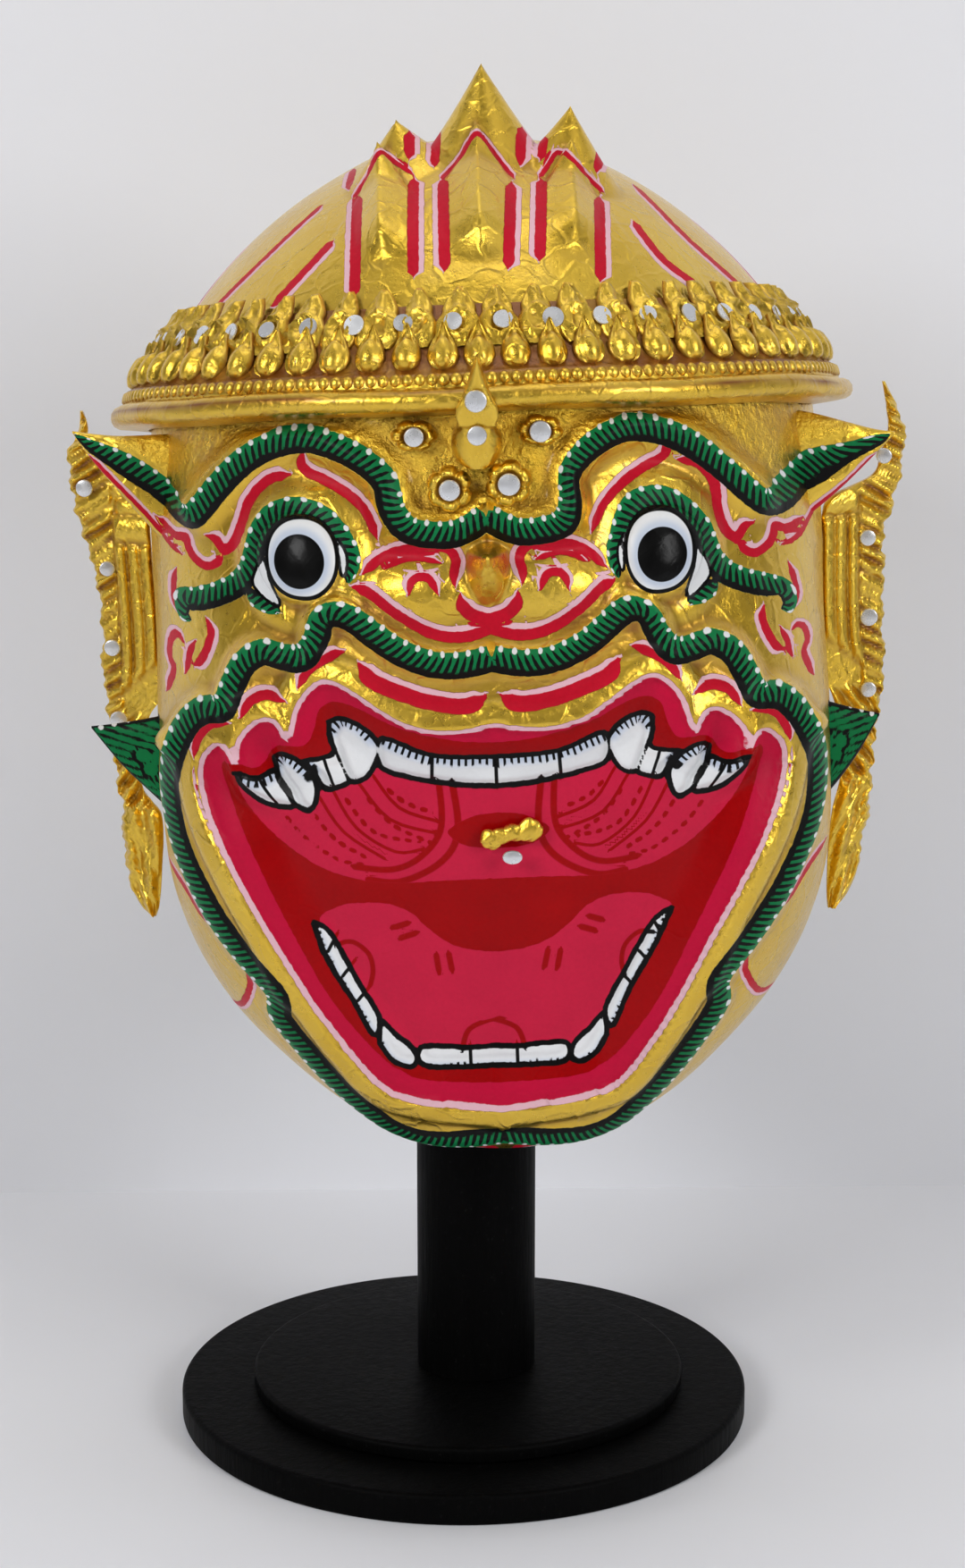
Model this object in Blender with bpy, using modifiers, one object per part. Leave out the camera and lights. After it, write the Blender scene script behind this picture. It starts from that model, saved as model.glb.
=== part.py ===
"""Full-head theatre mask of gilded papier-mache, on the black turned stand that holds it.

Blender script, metres, +Z up. The origin is the middle of the stand's underside, the face looks
along -Y, and the wearer's mask is hollow and open below. Sizes are given in millimetres and
multiplied by MM where they become mesh coordinates.
"""

from math import cos, pi, radians, sin

import bmesh
import bpy
import numpy as np
from mathutils import Matrix, Vector

MM = 0.001
GAP = 0.3  # clearance between neighbouring pieces

# Stand: hand-made, its discs and post not quite on one axis
BASE_RADIUS = 89.5
BASE_HEIGHT = 9.5
STEP_RADIUS = 68.0
STEP_HEIGHT = 5.0
STEP_SHIFT = 1.4
POST_RADIUS = 18.6
POST_SHIFT = 4.0
POST_DOME = 9.0  # height of the post's rounded top
POST_CLEAR = 1.0  # from the post's top to the crown's inside
POST_SIDES = 28
EDGE_ROUND = 1.2

# Mask: how it sits on the post
MASK_ROLL = radians(2.3)
MASK_YAW = radians(0.3)
MASK_PIVOT = 360.0
WALL = 4.5

# Head form, crown to rim. Each station is one level line round the head:
# front (depth y, height z), side (half width x, z), nape (y, z), boxiness of face and of nape
STATIONS = (
    ((0, 397.5), (0, 397.5), (0, 397.5), 2.0, 2.0),
    ((-24, 395), (21, 395.5), (25, 395), 2.0, 2.0),
    ((-46, 388), (39, 388), (47, 386.5), 2.0, 2.0),
    ((-66, 376), (57.5, 376.5), (69, 373), 2.05, 2.05),
    ((-81, 361), (75, 361), (88, 355), 2.1, 2.1),
    ((-91, 345), (88, 344.5), (102.5, 336), 2.15, 2.1),
    ((-97, 328), (96, 327), (112.5, 313), 2.2, 2.15),
    ((-100, 308), (99, 306), (117, 290), 2.3, 2.2),
    ((-103.5, 285), (99.5, 283), (118, 266), 2.5, 2.25),
    ((-109.5, 260), (99, 259), (116, 244), 2.8, 2.3),
    ((-113, 235), (99.5, 235), (113, 226), 3.1, 2.3),
    ((-112.5, 210), (99.3, 212), (109, 213), 3.3, 2.35),
    ((-109.5, 186), (98.5, 191), (105, 204), 3.1, 2.35),
    ((-106.5, 163), (94.5, 173), (101, 198), 2.7, 2.3),
    ((-102, 143), (88.5, 160), (97.5, 194), 2.4, 2.25),
    ((-96, 126), (81.5, 150.5), (94, 191), 2.1, 2.2),
    ((-84, 115), (76, 145.5), (91, 189), 2.0, 2.2),
    ((-70, 112), (73, 142.5), (88.5, 187.5), 1.95, 2.2),
)
LEVELS = len(STATIONS) - 1
FACE_DENSITY = 0.35  # how far the columns crowd towards the face
FACE_EDGE = 0.25  # cosine of azimuth over which the carving fades out towards the sides

# Lines of the face seen from the front: half width x, height z
BROW_LINE = ((0, 300.5), (8, 296.5), (16, 296.5), (22, 298.5), (25.5, 304), (27, 311), (33, 316.5),
             (41, 320.5), (49, 322), (58, 320), (66, 315.5), (73, 309), (80, 301))
MOUSTACHE_LINE = ((0, 263), (8, 261.5), (16, 262), (24, 265), (31, 269.5), (37, 274), (41.5, 276),
                  (45.5, 274.5), (47.5, 269), (51, 264.5), (56.5, 264), (62.5, 265), (68, 261.5),
                  (71.5, 255.5), (74.5, 249.5), (80.5, 248), (85.5, 243.5), (89.5, 236))
JAW_LINE = ((89.5, 236), (92.5, 227), (92.5, 218.5), (90, 208.5), (85.5, 199.5), (80, 190), (72, 179.5),
            (62.5, 168.5), (62, 160), (55.5, 150), (48, 140), (39.5, 130.5), (31, 123), (20, 121),
            (0, 124.5))
LIP_LINE = ((0, 244.5), (12.5, 243), (23.5, 245), (31.5, 249.5), (40.5, 255.5), (46.5, 257), (52.5, 251),
            (56, 241), (60.5, 246.5), (65.5, 245), (70, 239.5), (70.5, 231), (75, 238.5), (80, 235),
            (81.5, 229), (79.5, 220.5), (74.5, 208.5), (67.5, 195), (60, 182), (51, 166), (42, 152),
            (33.5, 141), (25, 137.5), (0, 135))
EYE = (50.0, 288.5)
EYE_RADII = (11.5, 13.5)
EYE_RISE = 6.0
LID_WIDTH = 0.55  # of the eye's radii
LID_RISE = 2.8
NOSE_TIP = 285.5
NOSE_RADIUS = 9.0
NOSE_RISE = 15.0
NOSTRIL = (17.0, 281.5)
NOSTRIL_RADII = (18.0, 10.0)
NOSTRIL_RISE = 5.0
BROW_RISE = 5.0
BROW_WIDTH = 8.5  # half width of the ridge
MOUSTACHE_RISE = 3.6
MOUSTACHE_WIDTH = 6.0
LIP_RISE = 3.0
LIP_WIDTH = 4.5
JAW_RISE = 2.2
JAW_WIDTH = 6.0
MOUTH_DEPTH = 7.0
MOUTH_SLOPE = 14.0
TOOTH_RISE = 2.2
TEETH = (231.0, 0.0065, 33.0, 6.0)  # height in the middle, curl, half width, half height
FANGS = ((38.5, 238.5, 6.5, 9.0, 5.0), (53.5, 232.5, 5.5, 8.5, 4.0))

# Crown: three peaks, and a creased petal below each. Peaks: x, depth, height, radius; petals: x, half width
PEAKS = ((3.8, -27.0, 24.6, 18.0), (-21.0, -31.0, 13.5, 15.0), (28.6, -31.0, 17.9, 14.0))
PETALS = ((1.4, 9.3), (-24.6, 8.3), (26.8, 8.3))
PETAL_RISE = 3.0
PETAL_FOOT = 360.0
PETAL_FADE = 14.0  # height over which a petal rises to its full swell
PETAL_BEHIND = -38.0  # depth behind which the crown has no petals
PETAL_EDGE = 10.0  # depth over which they fade out there
PEAK_SHARPNESS = 1.35
PEAK_FLATNESS = 1.15  # how much narrower a peak is from front to back

# Ears and cheek wings: leaves that stand out from the head's sides, not quite alike left and right.
# Top edge and foot edge of each, from root to tip: half width x, height z
EARS = {
    -1: (((87.5, 319.0), (97, 319.3), (107.5, 320.3), (116, 321.4)),
         ((90.3, 285.5), (99, 294.5), (108, 304.8), (116, 318.5))),
    1: (((87.5, 318.8), (97, 317.2), (108, 314.6), (117.5, 311.8)),
        ((90.3, 287.5), (99, 296), (108, 303.5), (117.5, 310.9))),
}
EAR_DEPTH = -44.0
EAR_THICKNESS = 11.0
WINGS = {
    -1: (((94.5, 238.5), (101, 237.4), (109, 236.2), (117, 235.2)),
         ((94.5, 206.5), (102, 214.5), (110, 223.5), (117, 234.2))),
    1: (((94.5, 234.5), (101, 231.8), (107, 229.6), (112.5, 228)),
        ((94.5, 202.5), (100.5, 209.5), (107, 217.5), (112.5, 227))),
}
WING_DEPTH = -46.0
WING_THICKNESS = 9.0

# Diadem band: its line tilts back with the head, and its section stands on the head's surface
BAND_HEIGHT = 318.3
BAND_TILT = 0.13
BAND_TEARDROPS = 62
# Section from the foot up: height on the head, standing out at a teardrop, standing out between two
BAND_SECTION = ((-3.2, 8.0, 8.0), (-0.5, 12.2, 12.2), (3.0, 9.6, 9.6), (6.0, 11.0, 11.0),
                (9.0, 7.8, 7.8), (13.0, 9.8, 6.4), (21.0, 5.6, 4.2), (30.5, 2.2, 2.2))
PETAL_NOTCH = 4.0  # how much lower the band's edge is between two petals
BAND_SEAT = 0.9
BAND_CLEAR = 4.0  # the face's carving ends this far below the band's line
BAND_FADE = 3.0  # and fades out over this height
BAND_INNER_ROWS = 4

# Ornaments
BOSS_RADIUS = 6.4
BOSS_TUCKED = 4.4  # half height of the bosses tucked under the band
BOSSES = {"left_upper": (-18.5, 322.6, BOSS_TUCKED), "right_upper": (15.5, 322.8, BOSS_TUCKED),
          "left_lower": (-9.5, 308.5, BOSS_RADIUS), "right_lower": (6.5, 309.5, BOSS_RADIUS)}
BOSS_HEIGHT = 3.4
MIRROR_RADIUS = 3.1
MIRROR_HEIGHT = 0.8
FINIAL_X = -1.5
FINIAL_FOOT = 314.0
FINIAL_TOP = 345.0
FINIAL_FACE = -107.5  # depth of its face at its foot
FINIAL_LEAN = 0.35
FINIAL_SEAT = -99.4  # depth of its back below the band
FINIAL_BEFORE_BAND = -111.0
FINIAL_STEP = 326.0  # height above which it passes before the band
FINIAL_MIRRORS = (323.5, 333.0)
JEWEL = (3.5, 213.5)
JEWEL_RADII = (8.6, 4.6)
JEWEL_HEIGHT = 3.2
JEWEL_MIRROR = (3.5, 207.5)

# Ear flaps: outer edge (half width, height) from the curled tip to the hanging tongue
FLAP_OUTER = ((121, 321), (124.5, 308), (121, 290), (118, 272), (117.5, 254), (118, 238), (116.5, 222),
              (115, 200), (114.5, 184), (110, 168), (104.5, 161))
FLAP_TONGUE = 206.0  # below this height the flap hangs clear of the cheek
FLAP_CLEAR = 2.0
FLAP_SEAT = 3.7  # from the head to the flap's inner edge, measured on its face
FLAP_DEPTH = -13.0
FLAP_SWEEP = 0.45
FLAP_THICKNESS = 3.5
FLAP_WIDTH = 22.0
FLAP_CURL = (296.0, 26.0, 1.5)  # where the tip begins to narrow, over what height, to what width
FLAP_RIBS = 3
FLAP_RIB_DEPTH = 1.2
FLAP_RIB_SHARE = 0.6  # of the flap's width, the rest being its flame edge
FLAP_FLAMES = 8
FLAP_FLAME_DEPTH = 0.6
FLAP_MIRROR_LIFT = 4.5
FLAP_MIRRORS = ((119.0, 300.0), (113.5, 276.0), (113.5, 252.0), (113.0, 230.0))

# Mesh densities
OUTER_COLUMNS = 112
OUTER_ROWS = 84
INNER_COLUMNS = 20
INNER_ROWS = 14
SHELL_TRIANGLES = 4500
FLAP_COLUMNS = 6
FLAP_ROWS = 12
MIRROR_SIDES = 8
BOSS_SIDES = 12
ROUND_STEPS = 40

COLLECTION_NAME = "Thai_khon_mask"


def clear_scene():
    for old in list(bpy.data.objects):
        bpy.data.objects.remove(old, do_unlink=True)


def material(name, colour, roughness, metallic=0.0):
    made = bpy.data.materials.new(name)
    made.use_nodes = True
    shader = made.node_tree.nodes["Principled BSDF"]
    shader.inputs["Base Color"].default_value = (*colour, 1)
    shader.inputs["Roughness"].default_value = roughness
    shader.inputs["Metallic"].default_value = metallic
    return made


def add_object(bm, name, finish, collection, parent=None, sharp=40):
    """One named, smooth-shaded object from a bmesh in metres."""
    mesh = bpy.data.meshes.new(name)
    bm.to_mesh(mesh)
    bm.free()
    mesh.materials.append(finish)
    mesh.shade_smooth()
    mesh.set_sharp_from_angle(angle=radians(sharp))
    made = bpy.data.objects.new(name, mesh)
    collection.objects.link(made)
    made.parent = parent
    return made


def smooth_through(rows, at):
    """Catmull-Rom curve through rows of numbers, read at positions 0 to len(rows) - 1."""
    rows = np.asarray(rows, float)
    last = len(rows) - 1
    at = np.clip(np.asarray(at, float), 0, last)
    low = np.minimum(at.astype(int), last - 1)
    u = (at - low)[..., None]
    before, here = rows[np.maximum(low - 1, 0)], rows[low]
    there, after = rows[low + 1], rows[np.minimum(low + 2, last)]
    return 0.5 * (2 * here + (there - before) * u + (2 * before - 5 * here + 4 * there - after) * u**2
                  + (3 * here - before - 3 * there + after) * u**3)


def smooth_line(points, steps=6):
    return smooth_through(points, np.linspace(0, len(points) - 1, (len(points) - 1) * steps + 1))


def ease(value):
    value = np.clip(value, 0, 1)
    return value * value * (3 - 2 * value)


def head_point(azimuth, level):
    """Point of the bare head form in mm; azimuth 0 is the face, pi the nape."""
    flat = [[*front, *side, *nape, face_box, nape_box]
            for front, side, nape, face_box, nape_box in STATIONS]
    rows = smooth_through(flat, level)
    front_y, front_z, side_x, side_z, nape_y, nape_z, face_box, nape_box = np.moveaxis(rows, -1, 0)
    across, along = np.sin(azimuth), np.cos(azimuth)
    depth = np.where(along >= 0, -front_y, nape_y) + 1e-6
    height = np.where(along >= 0, front_z, nape_z)
    box = np.where(along >= 0, face_box, nape_box)
    reach = ((np.abs(across) / (side_x + 1e-6))**box + (np.abs(along) / depth)**box)**(-1 / box)
    share = (reach * np.abs(along) / depth)**1.5
    return np.stack([reach * across, -reach * along, side_z + (height - side_z) * share], -1)


def head_normal(azimuth, level):
    step = 1e-3
    level = np.clip(level, 0.02, LEVELS - 0.02)
    round_head = head_point(azimuth + step, level) - head_point(azimuth - step, level)
    down_head = head_point(azimuth, level + step) - head_point(azimuth, level - step)
    normal = np.cross(down_head, round_head)
    return normal / np.linalg.norm(normal, axis=-1, keepdims=True)


def distance_to(x, z, points):
    """Distance in the front view from (x, z) to a smooth line through points."""
    line = smooth_line(points)
    nearest = np.full(np.shape(x), 1e9)
    for (ax, az), (bx, bz) in zip(line[:-1], line[1:]):
        dx, dz = bx - ax, bz - az
        along = np.clip(((x - ax) * dx + (z - az) * dz) / (dx * dx + dz * dz + 1e-12), 0, 1)
        nearest = np.minimum(nearest, np.hypot(x - ax - along * dx, z - az - along * dz))
    return nearest


def inside_of(x, z, points):
    """Whether (x, z) lies between the axis and a smooth line that starts and ends on it."""
    line = smooth_line(points)
    crossed = np.zeros(np.shape(x), bool)
    for (ax, az), (bx, bz) in zip(line[:-1], line[1:]):
        spans = (az > z) != (bz > z)
        crossing = ax + (z - az) * (bx - ax) / (bz - az + 1e-12)
        crossed ^= spans & (x < crossing)
    return crossed


def ridge(distance, half_width):
    return (1 - np.clip(distance / half_width, 0, 1)**2)**2


def dome_over(x, z, centre, radii):
    """Rounded swelling over an ellipse, 1 in its middle and 0 at its edge."""
    return np.clip(1 - ((x - centre[0]) / radii[0])**2 - ((z - centre[1]) / radii[1])**2, 0, 1)


def face_relief(x, z):
    """How far the painted face stands out from the bare head, in mm, from the front view."""
    side = np.abs(x)
    lip = distance_to(side, z, LIP_LINE)
    mouth = inside_of(side, z, LIP_LINE)
    eye = np.hypot((side - EYE[0]) / EYE_RADII[0], (z - EYE[1]) / EYE_RADII[1])
    out = BROW_RISE * ridge(distance_to(side, z, BROW_LINE), BROW_WIDTH)
    out += np.where(eye < 1, EYE_RISE * np.sqrt(np.clip(1 - eye**2, 0, 1)), 0)
    out += LID_RISE * ridge(eye - 1 - LID_WIDTH / 2, LID_WIDTH)
    out += NOSTRIL_RISE * dome_over(side, z, NOSTRIL, NOSTRIL_RADII)
    out += NOSE_RISE * np.clip(1 - np.hypot(x, z - NOSE_TIP) / NOSE_RADIUS, 0, 1)
    out += MOUSTACHE_RISE * ridge(distance_to(side, z, MOUSTACHE_LINE), MOUSTACHE_WIDTH)
    out += JAW_RISE * ridge(distance_to(side, z, JAW_LINE), JAW_WIDTH)
    out += np.where(mouth, 0, LIP_RISE * ridge(lip - LIP_WIDTH, LIP_WIDTH))
    out -= np.where(mouth, MOUTH_DEPTH * ease(lip / MOUTH_SLOPE), 0)
    upper_teeth = np.abs(z - TEETH[0] - TEETH[1] * side**2)
    out += np.where(mouth & (side < TEETH[2]), TOOTH_RISE * ridge(upper_teeth, TEETH[3]), 0)
    for fang_x, fang_z, fang_width, fang_height, rise in FANGS:
        out += rise * dome_over(side, z, (fang_x, fang_z), (fang_width, fang_height))
    return out


def crown_relief(x, y, z):
    """Height in mm that the three peaks and their petals add to the crown."""
    lift = np.zeros(np.shape(x))
    swell = np.zeros(np.shape(x))
    for peak_x, peak_y, height, radius in PEAKS:
        away = np.hypot(x - peak_x, (y - peak_y) * PEAK_FLATNESS)
        lift = np.maximum(lift, height * np.clip(1 - away / radius, 0, 1)**PEAK_SHARPNESS)
    for petal_x, half_width in PETALS:
        crease = np.clip(1 - np.abs(x - petal_x) / half_width, 0, 1)
        inside = ease((z - PETAL_FOOT) / PETAL_FADE) * ease((PETAL_BEHIND - y) / PETAL_EDGE)
        swell += PETAL_RISE * crease * inside
    return lift, swell


def band_line(y):
    """Height of the diadem band's line at depth y."""
    return BAND_HEIGHT - BAND_TILT * y


def shell_surface(columns, rows, carved, inward=0.0):
    """Open head surface as a bmesh in metres: a UV sphere moved onto the form, its foot cut away."""
    bm = bmesh.new()
    spare = 2
    bmesh.ops.create_uvsphere(bm, u_segments=columns, v_segments=rows + spare, radius=1)
    foot = [v for v in bm.verts if v.co.z < cos(pi * (rows + 0.5) / (rows + spare))]
    bmesh.ops.delete(bm, geom=foot, context="VERTS")
    bm.verts.ensure_lookup_table()
    sphere = np.array([v.co[:] for v in bm.verts])
    azimuth = np.arctan2(sphere[:, 0], -sphere[:, 1])
    azimuth = azimuth - FACE_DENSITY * np.sin(azimuth)
    level = np.arccos(np.clip(sphere[:, 2], -1, 1)) / pi * (rows + spare) / rows * LEVELS
    points = head_point(azimuth, level)
    normals = head_normal(azimuth, level)
    normals[level < 0.01] = (0, 0, 1)
    x, y, z = points.T
    below_band = band_line(y) - BAND_CLEAR - z
    facing = ease(np.cos(azimuth) / FACE_EDGE) * ease(below_band / BAND_FADE)
    if carved:
        lift, swell = crown_relief(x, y, z)
        points = points + normals * (face_relief(x, z) * facing + swell)[:, None]
        points[:, 2] += lift
    else:
        lip = distance_to(np.abs(x), z, LIP_LINE)
        sunk = MOUTH_DEPTH * ease(lip / MOUTH_SLOPE) * inside_of(np.abs(x), z, LIP_LINE) * facing
        points = points - normals * (inward + sunk)[:, None]
        # The inner wall ends level with the outer rim
        rim = level > LEVELS - 0.01
        points[rim, 2] = head_point(azimuth, level)[rim, 2]
    if carved:
        # The point nearest each peak's axis becomes its tip
        for peak_x, peak_y, height, _ in PEAKS:
            nearest = np.argmin(np.hypot(x - peak_x, y - peak_y) + 1000 * (z < PETAL_FOOT))
            points[nearest] = (peak_x, peak_y, z[nearest] + height)
    for vertex, point in zip(bm.verts, points):
        vertex.co = Vector(point) * MM
    return bm


def merge_into(bm, other):
    """Adds the faces of another bmesh, which is freed."""
    spare = bpy.data.meshes.new("spare")
    other.to_mesh(spare)
    other.free()
    bm.from_mesh(spare)
    bpy.data.meshes.remove(spare)


def make_shell(finish, collection, seat):
    outer = shell_surface(OUTER_COLUMNS, OUTER_ROWS, carved=True)
    inner = shell_surface(INNER_COLUMNS, INNER_ROWS, carved=False, inward=WALL)
    bmesh.ops.reverse_faces(inner, faces=inner.faces[:])
    merge_into(outer, inner)
    rims = [edge for edge in outer.edges if edge.is_boundary]
    bmesh.ops.bridge_loops(outer, edges=rims)
    bmesh.ops.triangulate(outer, faces=outer.faces[:])
    bmesh.ops.recalc_face_normals(outer, faces=outer.faces[:])
    return add_object(outer, "mask_shell", finish, collection, seat)


def leaf(top, foot, depth, thickness, side, sections=7, sides=10):
    """Pointed leaf standing out sideways: elliptic sections lofted from its root to its tip."""
    bm = bmesh.new()
    rings = []
    for step in range(sections):
        at = step / (sections - 1) * (len(top) - 1)
        high_x, high = smooth_through(top, at)
        low_x, low = smooth_through(foot, at)
        fade = 1 - (step / (sections - 1))**2
        half = thickness / 2 * max(fade, 0.12)
        ring = []
        for corner in range(sides):
            turn = 2 * pi * corner / sides
            share = (1 + cos(turn)) / 2
            x = low_x + (high_x - low_x) * share
            z = low + (high - low) * share
            ring.append(bm.verts.new(Vector((side * x, depth + half * sin(turn), z)) * MM))
        rings.append(ring)
    for near, far in zip(rings[:-1], rings[1:]):
        for i in range(sides):
            j = (i + 1) % sides
            bm.faces.new((near[i], near[j], far[j], far[i]))
    bm.faces.new(rings[0])
    bm.faces.new(rings[-1])
    bmesh.ops.recalc_face_normals(bm, faces=bm.faces[:])
    return bm


def add_leaves(shell, finish, helpers, seat):
    """Joins the ears and cheek wings to the shell, then thins its mesh to the form's needs."""
    leaves = (("ear", EARS, EAR_DEPTH, EAR_THICKNESS), ("wing", WINGS, WING_DEPTH, WING_THICKNESS))
    for name, edges, depth, thickness in leaves:
        for side, (top, foot) in edges.items():
            bm = leaf(top, foot, depth, thickness, side)
            tool = add_object(bm, f"tool_{name}_{side}", finish, helpers, seat)
            tool.hide_render = True
            tool.display_type = "WIRE"
            union = shell.modifiers.new(f"join_{name}_{side}", "BOOLEAN")
            union.operation = "UNION"
            union.solver = "EXACT"
            union.object = tool
    thin = shell.modifiers.new("thin", "DECIMATE")
    thin.ratio = SHELL_TRIANGLES / len(shell.data.polygons)
    thin.use_collapse_triangulate = True


def band_frame(azimuth, heights):
    """Points and normals of the head on one meridian, at heights above the tilted band line."""
    levels = np.linspace(1.5, 9, 301)
    line = head_point(np.full_like(levels, azimuth), levels)
    above = line[:, 2] - band_line(line[:, 1])
    at = np.interp(heights, above[::-1], levels[::-1])
    turn = np.full_like(at, azimuth)
    return head_point(turn, at), head_normal(turn, at)


def make_band(finish, collection, seat):
    """Ring of sections round the head, one at each teardrop and one between each two."""
    bm = bmesh.new()
    count = 2 * BAND_TEARDROPS
    rings = []
    for step in range(count):
        between = step % 2
        heights = np.array([row[0] for row in BAND_SECTION])
        heights[-1] -= PETAL_NOTCH * between
        stand_out = np.array([row[1 + between] for row in BAND_SECTION])
        inner = np.linspace(heights[-1] - 1.0, heights[0], BAND_INNER_ROWS)
        heights = np.append(heights, inner)
        stand_out = np.append(stand_out, np.full(BAND_INNER_ROWS, BAND_SEAT))
        points, normals = band_frame(2 * pi * step / count, heights)
        ring = [bm.verts.new(Vector(p) * MM) for p in points + normals * stand_out[:, None]]
        rings.append(ring)
    for near, far in zip(rings, rings[1:] + rings[:1]):
        for i in range(len(near)):
            j = (i + 1) % len(near)
            bm.faces.new((near[i], near[j], far[j], far[i]))
    bmesh.ops.triangulate(bm, faces=bm.faces[:])
    bmesh.ops.recalc_face_normals(bm, faces=bm.faces[:])
    return add_object(bm, "diadem_band", finish, collection, seat, sharp=50)


def face_depth(x, z, reach):
    """Depth y of the carved face's foremost point within reach of (x, z)."""
    azimuth, level = np.meshgrid(np.linspace(-0.7, 0.7, 181), np.linspace(5, 13, 321))
    points = head_point(azimuth, level)
    points += head_normal(azimuth, level) * face_relief(points[..., 0], points[..., 2])[..., None]
    near = np.hypot(points[..., 0] - x, points[..., 2] - z) < reach
    return points[..., 1][near].min()


def turned(profile, steps):
    """Turned solid as a bmesh in mm: a profile of (radius, height) spun about Z, ends on the axis."""
    bm = bmesh.new()
    line = [bm.verts.new((radius, 0, height)) for radius, height in profile]
    edges = [bm.edges.new(pair) for pair in zip(line[:-1], line[1:])]
    bmesh.ops.spin(bm, geom=line + edges, cent=(0, 0, 0), axis=(0, 0, 1), angle=2 * pi, steps=steps,
                   use_merge=True)
    bmesh.ops.remove_doubles(bm, verts=bm.verts[:], dist=1e-4)
    bmesh.ops.recalc_face_normals(bm, faces=bm.faces[:])
    return bm


def facing_front(bm, x, y, z, scale=(1, 1, 1)):
    """Turns a turned solid's axis to -Y, puts its foot at (x, y, z) and changes mm to metres."""
    bm.transform(Matrix.Scale(MM, 4) @ Matrix.Translation((x, y, z)) @ Matrix.Rotation(pi / 2, 4, "X")
                 @ Matrix.Diagonal((*scale, 1)))
    return bm


def mirror_piece(name, x, y, z, finish, collection, seat):
    disc = turned(((0, 0), (MIRROR_RADIUS, 0), (MIRROR_RADIUS, MIRROR_HEIGHT), (0, MIRROR_HEIGHT)), MIRROR_SIDES)
    return add_object(facing_front(disc, x, y, z), name, finish, collection, seat)


def make_bosses(finishes, collection, seat):
    for name, (x, z, half_height) in BOSSES.items():
        y = face_depth(x, z, BOSS_RADIUS) - 2 * GAP
        boss = turned(((0, 0), (BOSS_RADIUS, 0), (BOSS_RADIUS, 0.4 * BOSS_HEIGHT),
                       (0.75 * BOSS_RADIUS, BOSS_HEIGHT), (0, BOSS_HEIGHT)), BOSS_SIDES)
        facing_front(boss, x, y, z, scale=(1, half_height / BOSS_RADIUS, 1))
        add_object(boss, f"forehead_boss_{name}", finishes["gilt"], collection, seat)
        mirror_piece(f"mirror_boss_{name}", x, y - BOSS_HEIGHT - GAP, z, finishes["mirror"], collection, seat)


def finial_face(z):
    return FINIAL_FACE - FINIAL_LEAN * (z - FINIAL_FOOT)


def make_finial(finishes, collection, seat):
    """Pointed upright leaf before the band, on a lobed foot, with two mirrors."""
    half_widths = ((0.0, 0.0), (0.12, 6.5), (0.3, 7.0), (0.45, 4.2), (0.6, 5.0), (0.78, 2.6), (1.0, 0.0))
    height = FINIAL_TOP - FINIAL_FOOT
    right = [(FINIAL_X + half, FINIAL_FOOT + height * share) for share, half in half_widths]
    left = [(FINIAL_X - half, FINIAL_FOOT + height * share) for share, half in half_widths[-2:0:-1]]
    bm = bmesh.new()
    face = bm.faces.new([bm.verts.new((x, finial_face(z), z)) for x, z in right + left])
    body = bmesh.ops.extrude_face_region(bm, geom=[face])
    for vertex in body["geom"]:
        if isinstance(vertex, bmesh.types.BMVert):
            vertex.co.y = FINIAL_SEAT if vertex.co.z < FINIAL_STEP else FINIAL_BEFORE_BAND
    bmesh.ops.triangulate(bm, faces=bm.faces[:])
    bmesh.ops.recalc_face_normals(bm, faces=bm.faces[:])
    bm.transform(Matrix.Scale(MM, 4))
    add_object(bm, "forehead_finial", finishes["gilt"], collection, seat)
    for name, z in zip(("lower", "upper"), FINIAL_MIRRORS):
        y = finial_face(z + MIRROR_RADIUS) - GAP
        mirror_piece(f"mirror_finial_{name}", FINIAL_X, y, z, finishes["mirror"], collection, seat)


def make_mouth_jewel(finishes, collection, seat):
    x, z = JEWEL
    y = face_depth(x, z, JEWEL_RADII[0]) - 2 * GAP
    rosette = turned(((0, 0), (1, 0), (1, 0.4 * JEWEL_HEIGHT), (0.7, 0.8 * JEWEL_HEIGHT), (0, JEWEL_HEIGHT)),
                     BOSS_SIDES)
    facing_front(rosette, x, y, z, scale=(JEWEL_RADII[0], JEWEL_RADII[1], 1))
    add_object(rosette, "mouth_jewel", finishes["gilt"], collection, seat)
    mirror_x, mirror_z = JEWEL_MIRROR
    mirror_piece("mirror_mouth", mirror_x, y - JEWEL_HEIGHT - GAP, mirror_z, finishes["mirror"], collection, seat)


def side_width(z):
    """Half width of the bare head at its side at height z."""
    heights = [side[1] for _, side, *_ in STATIONS]
    widths = [side[0] for _, side, *_ in STATIONS]
    return np.interp(z, heights[::-1], widths[::-1])


def flap_y(x):
    return FLAP_DEPTH + FLAP_SWEEP * (x - 98)


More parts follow.
